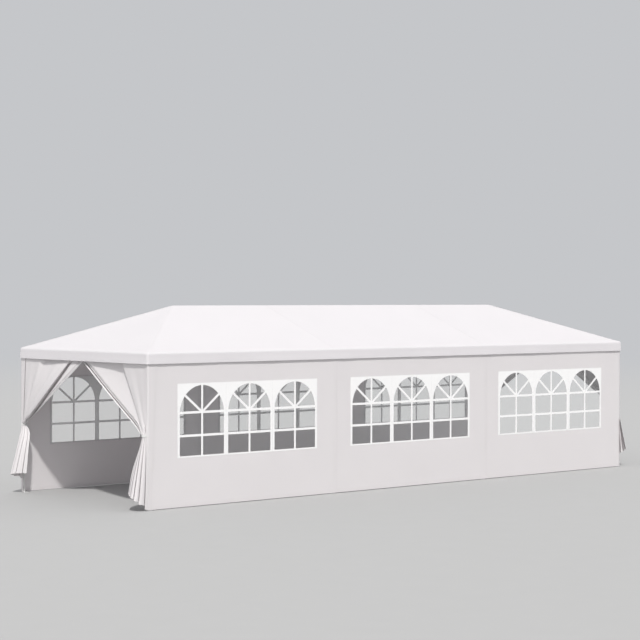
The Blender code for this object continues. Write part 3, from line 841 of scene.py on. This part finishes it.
def add_fan_pane(shape, centre, first, second, half_bar, plane):
    """The outline of one pane of the arch, between two bars from the middle of the spring bar. Its round side
    is spun about the arch's centre."""
    spread = half_bar / math.sin((second - first) / 2)
    middle = (first + second) / 2
    corner = Vector((spread * math.cos(middle), SPRING_BAR + spread * math.sin(middle)))

    def on_arc(angle):
        way = Vector((math.cos(angle), math.sin(angle)))
        from_centre = corner - Vector((0, ARCH_CENTRE))
        half = from_centre.dot(way)
        reach = -half + math.sqrt(half * half - from_centre.length_squared + PANE_HALF**2)
        return corner + way * reach

    start, stop = on_arc(first), on_arc(second)
    inner = shape.verts.new((centre + corner.x, plane, corner.y))
    first_end = shape.verts.new((centre + start.x, plane, start.y))
    from_angle, to_angle = (math.atan2(end.y - ARCH_CENTRE, end.x) for end in (start, stop))
    steps = max(3, round(ARC_STEPS * (to_angle - from_angle) / (math.pi / 2)))
    spun = bmesh.ops.spin(
        shape, geom=[first_end], cent=(centre, plane, ARCH_CENTRE), axis=(0, -1, 0), steps=steps,
        angle=to_angle - from_angle,
    )
    last = next(item for item in spun["geom_last"] if isinstance(item, bmesh.types.BMVert))
    shape.edges.new((inner, first_end))
    shape.edges.new((last, inner))


def build_window(wall, material):
    """One wall's window unit: three white sheets, each with an arched window of eight panes cut out."""
    shape = bmesh.new()
    sizes = wall.sizes
    half_bar = sizes.bar_width / 2
    plane = -WALL_PLANE - sizes.cloth_thickness / 2 - sizes.window_thickness / 2 - WINDOW_GAP
    outer_half = WINDOW_MODULE / 2 - MODULE_GAP / 2
    pane_rows = ((PANE_BOTTOM, LOWER_BAR - half_bar), (LOWER_BAR + half_bar, SPRING_BAR - half_bar))
    bars = (0.0, FAN_ANGLE, math.pi / 2, math.pi - FAN_ANGLE, math.pi)
    for n in (-1, 0, 1):
        centre = wall.centre + n * WINDOW_MODULE
        left = centre - outer_half if n > -1 else wall.centre - WINDOW_GROUP_HALF
        right = centre + outer_half if n < 1 else wall.centre + WINDOW_GROUP_HALF
        sheet = bmesh.new()
        add_rectangle(sheet, left, right, GROUP_BOTTOM, GROUP_TOP, plane)
        for side, (low, high) in itertools.product((-1, 1), pane_rows):
            add_rectangle(sheet, centre + side * half_bar, centre + side * PANE_HALF, low, high, plane)
        for first, second in zip(bars, bars[1:]):
            add_fan_pane(sheet, centre, first, second, half_bar, plane)
        bmesh.ops.remove_doubles(sheet, verts=sheet.verts, dist=SAME_PLACE)
        bmesh.ops.triangle_fill(
            sheet, use_beauty=True, use_dissolve=False, edges=sheet.edges, normal=(0, -1, 0)
        )
        bmesh.ops.recalc_face_normals(sheet, faces=sheet.faces)
        part = bpy.data.meshes.new("module")
        sheet.to_mesh(part)
        sheet.free()
        shape.from_mesh(part)
        bpy.data.meshes.remove(part)
    half_turn = Matrix.Rotation(0 if wall.turn == 1 else math.pi, 3, "Z")
    bmesh.ops.rotate(shape, verts=shape.verts, cent=(0, 0, 0), matrix=half_turn)
    return show(wall.name.replace("wall", "window_frame"), shape, material, sizes.window_thickness, sharp=30)


def build_film(wall, material):
    """The clear film behind one window unit, a little slack between its welded edges."""
    shape = bmesh.new()
    sizes = wall.sizes
    plane = -WALL_PLANE + sizes.cloth_thickness / 2 + sizes.film_thickness / 2 + FILM_GAP

    def place(across, height):
        from_edge = min(WINDOW_GROUP_HALF - abs(across), height - GROUP_BOTTOM, GROUP_TOP - height)
        swing = ripple(across * 5.0, height * 3.2, 20.0 + wall.bay + 5 * wall.turn)
        swing += 0.5 * ripple(across * 11.0, height * 7.0, 31.0)
        slack = FILM_SLACK * clamp(from_edge / 0.08) * (1 + swing)
        return turned((wall.centre + across, plane + slack, height), wall.turn)

    columns = spaced([-WINDOW_GROUP_HALF, WINDOW_GROUP_HALF], FILM_STEP)
    cloth_grid(shape, columns, spaced([GROUP_BOTTOM, GROUP_TOP], FILM_STEP), place)
    name = wall.name.replace("wall", "window_clear")
    return show(name, shape, material, sizes.film_thickness)


# Door flaps


def between_ties(gather):
    """How freely the cloth falls between the split and the tie, from 0 at both to 1."""
    return smooth(gather / 0.05) * smooth((1 - gather) / 0.12)


def swell(gather):
    """How far the cloth swells out between the split and the tie, from 0 at both to 1."""
    return math.sin(math.pi * gather) ** 0.8


def streaks(lies):
    """Soft streaks down a flap, at a share of its width."""
    return sum(high * math.sin(2 * math.pi * (count * lies + start)) for high, count, start in STREAKS)


class TiedFlap:
    """A door flap, unzipped and tied back to its corner leg. A place on its cloth is its share of the width,
    from 0 at the corner to 1 at the zip, and its level, from AT_RAIL to AT_HEM. It is below 0 on the lap."""

    def __init__(self, form, turn, sizes):
        self.form, self.turn, self.sizes = form, turn, sizes
        self.lapping = form is LAPPING
        if self.lapping:
            self.belly, self.band = sizes.edge_belly, sizes.edge_band
            self.hems = sizes.ground_gap, sizes.zip_hem_height
        else:
            self.belly, self.band = sizes.covered_belly, sizes.covered_band
            self.hems = sizes.back_hem_height, sizes.back_zip_hem_height
        self.cut_width = self.open_width(TIE_HEIGHT)
        self.trim_lift = -form.side * (sizes.cloth_thickness + AIR_GAP)
        end = "left" if turn == 1 else "right"
        face = "front" if self.lapping == (turn == 1) else "back"
        self.node = f"{end}_door_flap_{face}"

    def start(self, height):
        """How far in from the corner the flap starts at a height."""
        return CORNER_RADIUS if self.lapping else door_lap_width(height) + DOOR_LAP_GAP

    def open_width(self, height):
        """How far the flap reaches from there to the zip, untied."""
        return self.form.corner - self.start(height) - self.sizes.zip_gap / 2

    def gathered(self, lies, level, width):
        """Where the flap lies without its folds, at a share of what shows of it: out of the doorway's plane,
        and in from where it starts at the corner."""
        form, gather, fall = self.form, clamp(level - AT_SPLIT), clamp(level - AT_TIE)
        spread = 1 - (1 - fall) ** form.quickness
        drawn = (width + (form.bundle - width) * gather) * lies
        arch = BUNDLE_ARCH * gather * gather * math.sin(math.pi * lies) * (1 - fall)
        tuck = TUCK_DEPTH * lies * lies * math.sin(math.pi * spread) * (1 - fall)
        free = max(0.0, lies - form.fold_at) / (1 - form.fold_at) if self.lapping else lies
        swing = self.belly * swell(gather) * free**1.3 if fall == 0 else 0.0
        out = arch + bezier(0.0, HEM_BULGE, HEM_OUT, lies) * fall - tuck + swing
        lean = bezier(0.0, HEM_LEAN, 0.0, lies) * fall * fall
        inwards = drawn + (form.hem_reach * lies * lies - drawn) * spread - lean
        return out, inwards + form.side * BELLY_LEAN * swing

    def run(self, lies, level, width):
        """The way the gathered line runs there."""
        before = self.gathered(max(0.0, lies - RUN_STEP), level, width)
        after = self.gathered(min(1.0, lies + RUN_STEP), level, width)
        return Vector((after[0] - before[0], after[1] - before[1])).normalized()

    def height(self, share, level):
        edge_hem, zip_hem = self.hems
        hem = edge_hem + (zip_hem - edge_hem) * math.sin(math.pi / 2 * share**HEM_RISE_POWER)
        heights = (WALL_TOP, SPLIT_HEIGHT, TIE_HEIGHT, hem)
        return along_stops(list(zip(LEVELS, heights)), level)

    def seen(self, share, level, shows):
        """How far across the flap that shows a share of its cloth lies, and how many layers lie in front."""
        form = self.form
        missing = self.cut_width - shows
        edge_at = max(EDGE_BAND_START, 1 - self.band / shows)
        stops, layers = [(0.0, 0.0)], 0.0
        before = form.leg_room / shows
        for (under, back, again), at, part in zip(form.turns, (form.fold_at, edge_at), form.hidden):
            deep = max(LEAST_FOLD, min(missing * part / 2, 0.9 * (at - before) * shows)) / shows
            stops += [(under, at), (back, at - deep), (again, at)]
            before = at
            layers += smooth((share - under) / TURN_SHARE + 0.5) + smooth((share - back) / TURN_SHARE + 0.5)
        lies = along_stops(stops + [(1.0, 1.0)], share)
        even = smooth((level - AT_TIE) / GATHER_LEVELS + 1)
        return lies + (share - lies) * even, layers * (1 - even)

    def stands_out(self, lies, level, shows):
        """How far the flap's outer layer stands out of the doorway's plane above the tie: streaks before the
        fold, a step back behind it, the tuck under the valance, and the roll of the zip's band."""
        form, gather, tuck = self.form, clamp(level - AT_SPLIT), self.sizes.top_tuck
        past = max(0.0, (lies - form.fold_at) / (1 - form.fold_at))
        behind = smooth(past / form.step_share)
        out = form.streak * streaks(lies) * swell(gather)
        out *= smooth(lies / STREAK_FADE) * smooth((form.fold_at - lies) / STREAK_FADE)
        if self.lapping:
            out -= tuck * (1 - gather) ** 0.8 * behind * (1 - past) ** 1.4
            out -= CORNER_TUCK * smooth(lies / form.step_share) * (1 - gather)
        else:
            out -= (STEP_LEAST + STEP_MORE * swell(gather)) * behind * (1 - 0.6 * past) * (1 - gather**4)
            tucked = smooth((lies - COVERED_TUCK_START) / STREAK_FADE)
            tucked *= (1 - lies) / (1 - COVERED_TUCK_START - STREAK_FADE)
            out -= tuck * tucked * (1 - gather) ** 4
        band = min(1 - EDGE_BAND_START, self.band / shows)
        in_band = (1 - lies) / band
        if in_band < 1:
            roll = self.sizes.edge_roll * min(self.band, band * shows)
            out += roll * math.cos(2 * math.pi * in_band) * between_ties(gather)
        return out * smooth(level - AT_RAIL)

    def pleats(self, share, level):
        """The pleats that the tie gathers, at a share of the cloth: how far across it lies, how far their
        crests stand out, and how far the cloth dives in between them."""
        count, depth = self.sizes.fold_count, self.sizes.tie_pleat
        fall = clamp(level - AT_TIE)
        made = smooth((clamp(level - AT_SPLIT) - PLEAT_START) / (1 - PLEAT_START))
        deep = depth * made
        deep += (self.sizes.fold_depth - depth) * smooth(fall / PLEAT_DEEPENS) * (1 - 0.15 * fall)
        number = int(min(share, 0.9999) * count)
        within = share * count - number - 0.5
        from_middle = abs(within) * 2
        crosses = along_stops([(0.0, 0.0), (PLEAT_SHARE, PLEAT_MOUTH), (1.0, 1.0)], from_middle)
        lies = (number + 0.5 + math.copysign(crosses / 2, within)) / count
        lies = share + (lies - share) * made
        deep *= 0.9 + 0.5 * ripple(lies * 6.0, 2.0 + self.form.side, 0.4 * fall)
        round_crest = smooth((from_middle - PLEAT_SHARE) / (1 - PLEAT_SHARE))
        proud = PLEAT_CREST * deep * (0.7 + 0.3 * round_crest)
        return lies, proud, deep * max(0.0, 1 - from_middle / PLEAT_SHARE)

    def creases(self, lies, level, shows):
        """How far the cloth dives in at the creases by the fold and along the zip, above the tie."""
        form = self.form
        narrow = min(1.0, (1 - EDGE_BAND_START) * shows / self.band)
        places = [(1 - at * narrow / shows, wide, deep) for at, wide, deep in form.edge_creases]
        at, wide, deep = form.fold_crease
        places.append((form.fold_at + at * narrow / shows, wide, deep))
        dive = 0.0
        for at, wide, deep in places:
            off = abs(lies - at) * shows / (wide * narrow)
            dive += deep * narrow * (1 - smooth((off - CREASE_FLAT) / CREASE_SLOPE))
        return dive * between_ties(clamp(level - AT_SPLIT))

    def place(self, across, level):
        level = max(AT_RAIL, min(AT_HEM, level))
        if across < 0:
            return self.lap_place(across, level)
        share = min(1.0, across)
        height = self.height(share, level)
        start, width = self.start(height), self.open_width(height)
        shows = width + (self.form.bundle - width) * clamp(level - AT_SPLIT)
        pleated, crest, dive = self.pleats(share, level)
        lies, layers = self.seen(share, level, shows)
        lies = clamp(lies + pleated - share)
        run = self.run(lies, level, width)
        out, inwards = self.gathered(lies, level, width)
        height += HEM_JAG * dive / self.sizes.fold_depth * max(0.0, level - AT_TIE)
        gap = LEAST_LAYER_GAP + (self.sizes.layer_gap - LEAST_LAYER_GAP) * smooth(level - AT_RAIL)
        offset = crest - gap * layers
        if level < AT_TIE:
            offset += self.stands_out(lies, level, shows)
            dive += self.creases(lies, level, shows)
        out += offset * run.y - dive
        inwards += start - offset * run.x - self.form.side * BELLY_LEAN * dive
        return self.spot(out, inwards, height)

    def spot(self, out, inwards, height):
        """The point that lies out of the doorway's plane and in from the corner by these distances."""
        return turned((-FLAP_PLANE - out, self.form.side * (self.form.corner - inwards), height), self.turn)

    def lap_place(self, across, level):
        """The place of the cloth where it wraps round the corner on to the side wall."""
        height = self.height(0.0, level)
        bend = min(1.0, -across / ARC_SHARE) * math.pi / 2
        rest = max(0.0, (-across - ARC_SHARE) / (1 - ARC_SHARE))
        lap = LAP_BOTTOM + (LAP_TOP - LAP_BOTTOM) * height / WALL_TOP
        past = CORNER_RADIUS * (1 - math.cos(bend)) + (lap - CORNER_RADIUS) * rest
        return self.spot(-past, CORNER_RADIUS * (1 - math.sin(bend)), height)

    def flat_place(self, across, level):
        """The place on the flat cut, in metres."""
        width = self.cut_width if across >= 0 else LAP_TOP
        return across * width, self.height(0.0, level) if level <= AT_TIE else TIE_HEIGHT * (AT_HEM - level)

    def columns(self):
        """Shares of the cloth for its grid, closer together where it turns under and at its creases."""
        bends, steps = [0.0], []
        for under, back, again in self.form.turns:
            for at in (under, back):
                bends += [at - TURN_SHARE / 2, at + TURN_SHARE / 2]
                steps += [COLUMN_STEP, TURN_SHARE / 4]
            bends += [again, again + CREASE_SHARE]
            steps += [COLUMN_STEP, CREASE_STEP]
        return spaced(bends + [1.0], *steps, CREASE_STEP)


def build_flap(flap, material):
    shape = bmesh.new()
    columns = flap.columns()
    if flap.lapping:
        columns = spaced([-1.0, -ARC_SHARE, 0.0], 0.2, ARC_SHARE / 5)[:-1] + columns
    cloth_grid(shape, columns, spaced(LEVELS, 1 / 6, 1 / 44, 1 / 36), flap.place, flap.flat_place)
    return show(f"{flap.node}_cloth", shape, material, flap.sizes.cloth_thickness)


def build_flap_hem(flap, material):
    """The stitched hem along the flap's bottom, and the lap's edge on the side wall."""
    shape = bmesh.new()
    wide, thick = flap.sizes.hem_width, flap.sizes.cloth_thickness
    place = lifted(flap.place, -flap.form.side * (thick + HEM_GAP))
    fall = TIE_HEIGHT - sum(flap.hems) / 2
    start = AT_HEM - wide / fall
    rows = [start, (start + AT_HEM) / 2, AT_HEM]
    cloth_grid(
        shape, flap.columns(), rows, place,
        lambda across, level: (across * flap.cut_width, (level - start) * fall),
    )
    if flap.lapping:
        share = wide / (LAP_TOP * (1 - ARC_SHARE))
        cloth_grid(
            shape, [-1.0, share / 2 - 1, share - 1], spaced(LEVELS, 1 / 3, 1 / 12, 1 / 12), place,
            lambda across, level: (flap.flat_place(0, level)[1], (across + 1) * LAP_TOP),
        )
    return show(f"{flap.node}_hem", shape, material, thick * 0.8)


def build_zip(flap, tape_material, coil_material):
    """One half of the door's zip: its tape on the flap's edge, and the coil along the tape."""
    rows = spaced(LEVELS, 1 / 8, 1 / 60, 1 / 44)
    columns = [ZIP_TAPE_SHARE, (1 + ZIP_TAPE_SHARE) / 2, ZIP_TAPE_END]
    tape = bmesh.new()
    cloth_grid(
        tape, columns, rows, lifted(flap.place, flap.trim_lift),
        lambda across, level: (flap.flat_place(0, level)[1], (across - 1) * flap.cut_width),
    )
    edge = lifted(flap.place, flap.trim_lift * 2.2)
    radius = flap.sizes.zip_coil / 2

    def on_coil(angle, level):
        below = edge(ZIP_COIL_SHARE, min(AT_HEM, level + ZIP_COIL_REACH))
        down = (below - edge(ZIP_COIL_SHARE, max(AT_RAIL, level - ZIP_COIL_REACH))).normalized()
        aside = (edge(0.999, level) - edge(0.990, level)).normalized()
        aside = (aside - down * aside.dot(down)).normalized()
        around = aside * math.cos(angle) + down.cross(aside) * math.sin(angle)
        return edge(ZIP_COIL_SHARE, level) + around * radius

    coil = bmesh.new()
    cloth_grid(
        coil, [2 * math.pi * k / ZIP_SIDES for k in range(ZIP_SIDES + 1)], rows, on_coil,
        lambda angle, level: (flap.flat_place(0, level)[1], angle * radius),
    )
    bmesh.ops.remove_doubles(coil, verts=coil.verts, dist=SAME_PLACE)
    bmesh.ops.holes_fill(coil, edges=[edge for edge in coil.edges if edge.is_boundary], sides=ZIP_SIDES)
    bmesh.ops.recalc_face_normals(coil, faces=coil.faces)
    name = flap.node.replace("flap", "zip")
    return [
        show(f"{name}_tape", tape, tape_material, flap.sizes.cloth_thickness * 0.6),
        show(f"{name}_coil", coil, coil_material),
    ]


def build_tie_strap(flap, material):
    """The strap that holds a flap's gathered cloth to the corner leg, over the bundle and round the leg."""
    shape = bmesh.new()
    half = flap.sizes.strap_width / 2
    proud = flap.sizes.tie_pleat * 1.5 * PLEAT_CREST + STRAP_GAP
    start, width = flap.start(TIE_HEIGHT), flap.open_width(TIE_HEIGHT)
    places = []
    for share in STRAP_SHARES:
        run = flap.run(share, AT_TIE, width)
        out, inwards = flap.gathered(share, AT_TIE, width)
        places.append((out + proud * run.y, start + inwards - proud * run.x))
    leg_out, leg_in = LEG_X - FLAP_PLANE, flap.form.corner - LEG_Y
    reach = TUBE_RADIUS + STRAP_PLAY
    places += [
        (leg_out, start + flap.form.bundle + STRAP_BEND),
        (leg_out - reach, leg_in + reach),
        (leg_out - reach, leg_in - reach / 2),
        (leg_out, leg_in - reach + STRAP_PLAY / 2),
    ]
    path = [flap.spot(out, inwards, TIE_HEIGHT) for out, inwards in places]

    def on_strap(along, up):
        point = through(path, along)
        return Vector((point.x, point.y, TIE_HEIGHT + up))

    columns = spaced(list(range(len(path))), 1 / 5)
    cloth_grid(shape, columns, [-half, 0.0, half], on_strap, lambda along, up: (along * 0.02, up))
    return show(flap.node.replace("door_flap", "tie_strap"), shape, material, flap.sizes.strap_thickness)


# Settings, operators and panel


def length(name, description, default):
    return bpy.props.FloatProperty(
        name=name, description=description, default=default, min=0.0001, max=2.0, precision=4, unit="LENGTH"
    )


def angle(name, description, default):
    return bpy.props.FloatProperty(name=name, description=description, default=default, subtype="ANGLE")


def amount(name, description, default):
    return bpy.props.FloatProperty(name=name, description=description, default=default, min=0.0)


def colour(name, description, default):
    return bpy.props.FloatVectorProperty(
        name=name, description=description, default=default, size=3, min=0.0, max=1.0, subtype="COLOR"
    )


class MarqueeSizes(bpy.types.PropertyGroup):
    """Sizes of the soft parts and their trim"""

    cloth_thickness: length("Cloth", "Thickness of the coated cloth", 0.001)
    window_thickness: length("Window sheet", "Thickness of the white window sheets", 0.0007)
    film_thickness: length("Film", "Thickness of the clear film", 0.0004)
    eave_bend: length("Eave bend", "Radius of the bend from the roof to the valance", 0.038)
    roof_sag: length("Roof sag", "How far the roof cloth sags between the tubes", 0.014)
    valance_wave: length("Valance wave", "How far the valance's bottom edge waves", 0.006)
    valance_flare: length("Valance flare", "How far the valance's bottom edge stands out", 0.008)
    wall_wave: length("Wall wave", "How far the wall cloth waves", 0.004)
    bar_width: length("Window bar", "Width of the bars between the panes", 0.030)
    hem_width: length("Hem", "Width of the stitched hems", 0.028)
    seam_width: length("Roof seam", "Width of the canopy's doubled seams", 0.018)
    fold_depth: length("Pleat depth", "Depth of a door flap's pleats below its tie", 0.055)
    tie_pleat: length("Tied pleat depth", "Depth of a door flap's pleats at its tie", 0.022)
    fold_count: bpy.props.IntProperty(
        name="Pleats", description="Number of pleats across a tied door flap", default=6, min=1, max=20
    )
    layer_gap: length("Layer gap", "Distance between the layers of cloth where a flap turns under", 0.005)
    top_tuck: length("Top tuck", "How far a flap lies behind the valance at its top", 0.040)
    edge_belly: length("Lapping belly", "How far a lapping flap's zip edge swings out above the tie", 0.060)
    covered_belly: length("Covered belly", "How far a covered flap's zip edge swings out over the tie", 0.100)
    edge_band: length("Lapping zip edge", "Width of the rolled band along a lapping flap's zip", 0.140)
    covered_band: length("Covered zip edge", "Width of the rolled band along a covered flap's zip", 0.080)
    edge_roll: amount("Zip edge roll", "How far that band rolls out and in, as a share of its width", 0.04)
    ground_gap: length("Ground gap", "Height of the cloth's edge over the ground", 0.008)
    zip_hem_height: length("Zip hem", "Height of a lapping flap's hem at its zip", 0.208)
    back_hem_height: length("Covered hem", "Height of a covered flap's hem at the corner", 0.19)
    back_zip_hem_height: length("Covered zip hem", "Height of a covered flap's hem at its zip", 0.275)
    zip_coil: length("Zip coil", "Thickness of the zip's coil", 0.005)
    zip_gap: length("Zip gap", "Gap between the two door flaps over the doorway", 0.006)
    strap_width: length("Strap width", "Width of the tie straps", 0.024)
    strap_thickness: length("Strap", "Thickness of the straps and loops", 0.0014)


class MarqueeColours(bpy.types.PropertyGroup):
    """Colours of the finishes"""

    roof: colour("Roof", "Roof and valance cloth", (0.835, 0.812, 0.83))
    wall: colour("Walls", "Wall and door cloth", (0.84, 0.812, 0.82))
    window: colour("Windows", "White window sheets", (0.985, 0.98, 0.98))
    film: colour("Film", "Tint of the clear film", (0.76, 0.79, 0.80))
    steel: colour("Frame", "Powder coat of the tubes", (0.80, 0.80, 0.79))
    floor: colour("Floor", "Studio floor", (0.45, 0.45, 0.45))
    backdrop: colour("Backdrop", "Studio background", (0.56, 0.57, 0.59))


class MarqueeStage(bpy.types.PropertyGroup):
    """Camera and light"""

    camera_place: bpy.props.FloatVectorProperty(
        name="Camera", description="Where the camera stands", default=(-17.6048, -19.3852, 2.6210), size=3,
        subtype="TRANSLATION", unit="LENGTH",
    )
    heading: angle("Heading", "Way the camera looks, from +Y towards +X", 0.7249)
    pitch: angle("Pitch", "Rise of the camera's view", -0.0133)
    roll: angle("Roll", "Turn of the camera about its view", 0.0020)
    focal_pixels: amount("Focal length", "Focal length in pixels of the photograph", 1824.83)
    sun_heading: angle("Sun heading", "Way the sunlight travels, from +Y towards +X", math.radians(40))
    sun_height: angle("Sun height", "Height of the key light over the horizon", math.radians(49.5))
    sun_width: angle("Sun width", "Width of the key light in the sky", math.radians(3))
    sun_strength: amount("Sun", "Strength of the key light", 2.72)
    sky_low: amount("Low sky", "Even light from the horizon", 0.80)
    sky_high: amount("High sky", "Even light from overhead", 0.66)


MATERIALS = {}


def finishes(scene):
    """The tent's materials, made once and shared by the pieces."""
    if not MATERIALS:
        tones, hem = scene.marquee_colours, scene.marquee_sizes.hem_width
        MATERIALS["roof"] = woven_cloth("roof cloth", tones.roof, 0.42)
        MATERIALS["wall"] = woven_cloth("wall cloth", tones.wall, 0.48)
        MATERIALS["window"] = window_white("window sheet", tones.window)
        MATERIALS["film"] = clear_film("clear film", tones.film)
        MATERIALS["steel"] = powder_coat("powder coat", tones.steel)
        MATERIALS["roof tape"] = stitched_tape("roof tape", tones.roof, 0.42, hem)
        MATERIALS["wall tape"] = stitched_tape("wall tape", tones.wall, 0.48, hem)
        MATERIALS["webbing"] = webbing("strap webbing", tones.steel)
        MATERIALS["coil"] = zip_coil("zip coil", tones.window)
    return MATERIALS


class MARQUEE_OT_frame_finish(bpy.types.Operator):
    """Give the tubes and fittings of the frame their powder coat"""

    bl_idname = "marquee.frame_finish"
    bl_label = "Finish the frame"

    def execute(self, context):
        steel = finishes(context.scene)["steel"]
        for name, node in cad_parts.items():
            if any(word in name for word in ("rail", "ridge_tube", "rafter", "leg")):
                for slot in node.material_slots:
                    slot.material = steel
        return {"FINISHED"}


class MARQUEE_OT_canopy(bpy.types.Operator):
    """Make the roof and its valance as one sheet of cloth"""

    bl_idname = "marquee.canopy"
    bl_label = "Canopy"

    def execute(self, context):
        looks = finishes(context.scene)
        canopy = Canopy(context.scene.marquee_sizes)
        cloth = build_canopy(canopy, looks["roof"])
        places = ("front", "back", "left", "right")
        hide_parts(*(f"{place}_{part}" for part in ("roof", "valance") for place in places))
        tape = looks["roof tape"]
        build_valance_hem(canopy, tape)
        build_roof_seams(canopy, tape)
        return {"FINISHED"}


class MARQUEE_OT_walls(bpy.types.Operator):
    """Make the six side walls with their window units"""

    bl_idname = "marquee.walls"
    bl_label = "Walls and windows"

    def execute(self, context):
        looks = finishes(context.scene)
        for (turn, face), bay in itertools.product(((1, "front"), (-1, "back")), range(3)):
            wall = Wall(bay, turn, context.scene.marquee_sizes)
            cloth = build_wall(wall, looks["wall"])
            window = build_window(wall, looks["window"])
            film = build_film(wall, looks["film"])
            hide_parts(wall.name)
            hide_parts(wall.name.replace("wall", "window_film"))
            hems = build_wall_hems(wall, looks["wall tape"])
            loops = build_wall_loops(wall, looks["webbing"])
        return {"FINISHED"}


class MARQUEE_OT_door_flaps(bpy.types.Operator):
    """Make the four door flaps, unzipped and tied back to the corner legs"""

    bl_idname = "marquee.door_flaps"
    bl_label = "Door flaps"

    def execute(self, context):
        looks = finishes(context.scene)
        tall = WALL_TOP - WALL_BOTTOM
        for (turn, end), form in itertools.product(((1, "left"), (-1, "right")), (LAPPING, COVERED)):
            flap = TiedFlap(form, turn, context.scene.marquee_sizes)
            cloth = build_flap(flap, looks["wall"])
            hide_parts(flap.node)
            trim = [build_flap_hem(flap, looks["wall tape"]), build_tie_strap(flap, looks["webbing"])]
            trim += build_zip(flap, looks["wall tape"], looks["coil"])
            wide = flap.cut_width
            area = wide * tall - (wide - flap.open_width(WALL_TOP)) * (WALL_TOP - TIE_HEIGHT) / 2
            if flap.lapping:
                wide += LAP_TOP
                area += (LAP_TOP + LAP_BOTTOM) / 2 * tall
        return {"FINISHED"}


class MARQUEE_OT_stage(bpy.types.Operator):
    """Lay the floor, set the soft lights and stand the camera at the photograph's angle"""

    bl_idname = "marquee.stage"
    bl_label = "Floor, light and camera"

    def execute(self, context):
        scene = context.scene
        stage, tones = scene.marquee_stage, scene.marquee_colours
        set_floor(tones)
        set_world(scene, stage, tones)
        set_sun(scene, stage)
        set_camera(scene, stage)
        scene.view_settings.view_transform = "Standard"
        return {"FINISHED"}


def set_floor(tones):
    """A wide round floor that fades into the background, far from the tent."""
    finish = new_finish("studio floor")
    grain = finish.tinted(finish.noise(3.0, 4.0), tones.floor, 0.97)
    finish.feed(finish.shader, {"Base Color": grain, "Roughness": 0.85, "Specular IOR Level": 0.1})
    distance = finish.add("VectorMath", {0: finish.place}, operation="LENGTH").outputs["Value"]
    fade = finish.add(
        "MapRange", {"Value": distance, "From Min": FLOOR_FADE[0], "From Max": FLOOR_FADE[1]},
        interpolation_type="SMOOTHERSTEP",
    )
    glow = finish.add("Emission", {"Color": shade(tones.backdrop)})
    finish.end_with(fade.outputs["Result"], finish.shader.outputs[0], glow.outputs[0])
    shape = bmesh.new()
    bmesh.ops.create_circle(shape, cap_ends=True, cap_tris=True, segments=96, radius=FLOOR_RADIUS)
    new_object("studio_floor", shape, finish.owner)


def set_world(scene, stage, tones):
    """Even light from the whole sky, and a plain background where the camera sees it."""
    world = Nodes(bpy.data.worlds.new("studio"))
    backdrop = world.tree.nodes["Background"]
    world.feed(backdrop, {"Color": shade(tones.backdrop)})
    rise = world.add("SeparateXYZ", {0: world.place}).outputs["Z"]
    light = {"Color": SKY_COLOUR, "Strength": world.ranged(rise, stage.sky_low, stage.sky_high)}
    even = world.add("Background", light)
    in_view = world.add("LightPath").outputs["Is Camera Ray"]
    world.end_with(in_view, even.outputs[0], backdrop.outputs[0], "World Output")
    scene.world = world.owner


def facing(heading, rise):
    """The direction of a heading, from +Y towards +X, and a rise over the horizon."""
    return Vector((math.sin(heading) * math.cos(rise), math.cos(heading) * math.cos(rise), math.sin(rise)))


def set_sun(scene, stage):
    light = bpy.data.lights.new("key light", "SUN")
    light.energy = stage.sun_strength
    light.angle = stage.sun_width
    light.color = SUN_COLOUR
    lamp = bpy.data.objects.new("key light", light)
    scene.collection.objects.link(lamp)
    lamp.rotation_euler = facing(stage.sun_heading, -stage.sun_height).to_track_quat("-Z", "Y").to_euler()


def set_camera(scene, stage):
    data = bpy.data.cameras.new("camera")
    data.sensor_width = SENSOR_WIDTH
    data.lens = stage.focal_pixels * SENSOR_WIDTH / IMAGE_SIDE
    data.clip_end = VIEW_END
    camera = bpy.data.objects.new("camera", data)
    scene.collection.objects.link(camera)
    scene.camera = camera
    ahead = facing(stage.heading, stage.pitch)
    right = Vector((math.cos(stage.heading), -math.sin(stage.heading), 0))
    level = Matrix((right, right.cross(ahead), -ahead)).transposed()
    turn = level @ Matrix.Rotation(stage.roll, 3, "Z")
    camera.matrix_world = Matrix.Translation(Vector(stage.camera_place)) @ turn.to_4x4()


OPERATORS = (
    MARQUEE_OT_frame_finish,
    MARQUEE_OT_canopy,
    MARQUEE_OT_walls,
    MARQUEE_OT_door_flaps,
    MARQUEE_OT_stage,
)


class MARQUEE_PT_panel(bpy.types.Panel):
    """Buttons for the tent's pieces, with its sizes and colours"""

    bl_idname = "MARQUEE_PT_panel"
    bl_label = "Marquee tent"
    bl_space_type = "VIEW_3D"
    bl_region_type = "UI"
    bl_category = "Marquee"

    def draw(self, context):
        for operator in OPERATORS:
            self.layout.operator(operator.bl_idname)
        for group in ("marquee_sizes", "marquee_colours", "marquee_stage"):
            settings = getattr(context.scene, group)
            for name in settings.__annotations__:
                self.layout.prop(settings, name)


CLASSES = (MarqueeSizes, MarqueeColours, MarqueeStage, *OPERATORS, MARQUEE_PT_panel)


def register():
    for item in CLASSES:
        bpy.utils.register_class(item)
    bpy.types.Scene.marquee_sizes = bpy.props.PointerProperty(type=MarqueeSizes)
    bpy.types.Scene.marquee_colours = bpy.props.PointerProperty(type=MarqueeColours)
    bpy.types.Scene.marquee_stage = bpy.props.PointerProperty(type=MarqueeStage)


def unregister():
    del bpy.types.Scene.marquee_stage
    del bpy.types.Scene.marquee_colours
    del bpy.types.Scene.marquee_sizes
    for item in reversed(CLASSES):
        bpy.utils.unregister_class(item)


def main():
    register()
    bpy.ops.marquee.frame_finish()
    bpy.ops.marquee.canopy()
    bpy.ops.marquee.walls()
    bpy.ops.marquee.door_flaps()
    bpy.ops.marquee.stage()


if __name__ == "__main__":
    main()
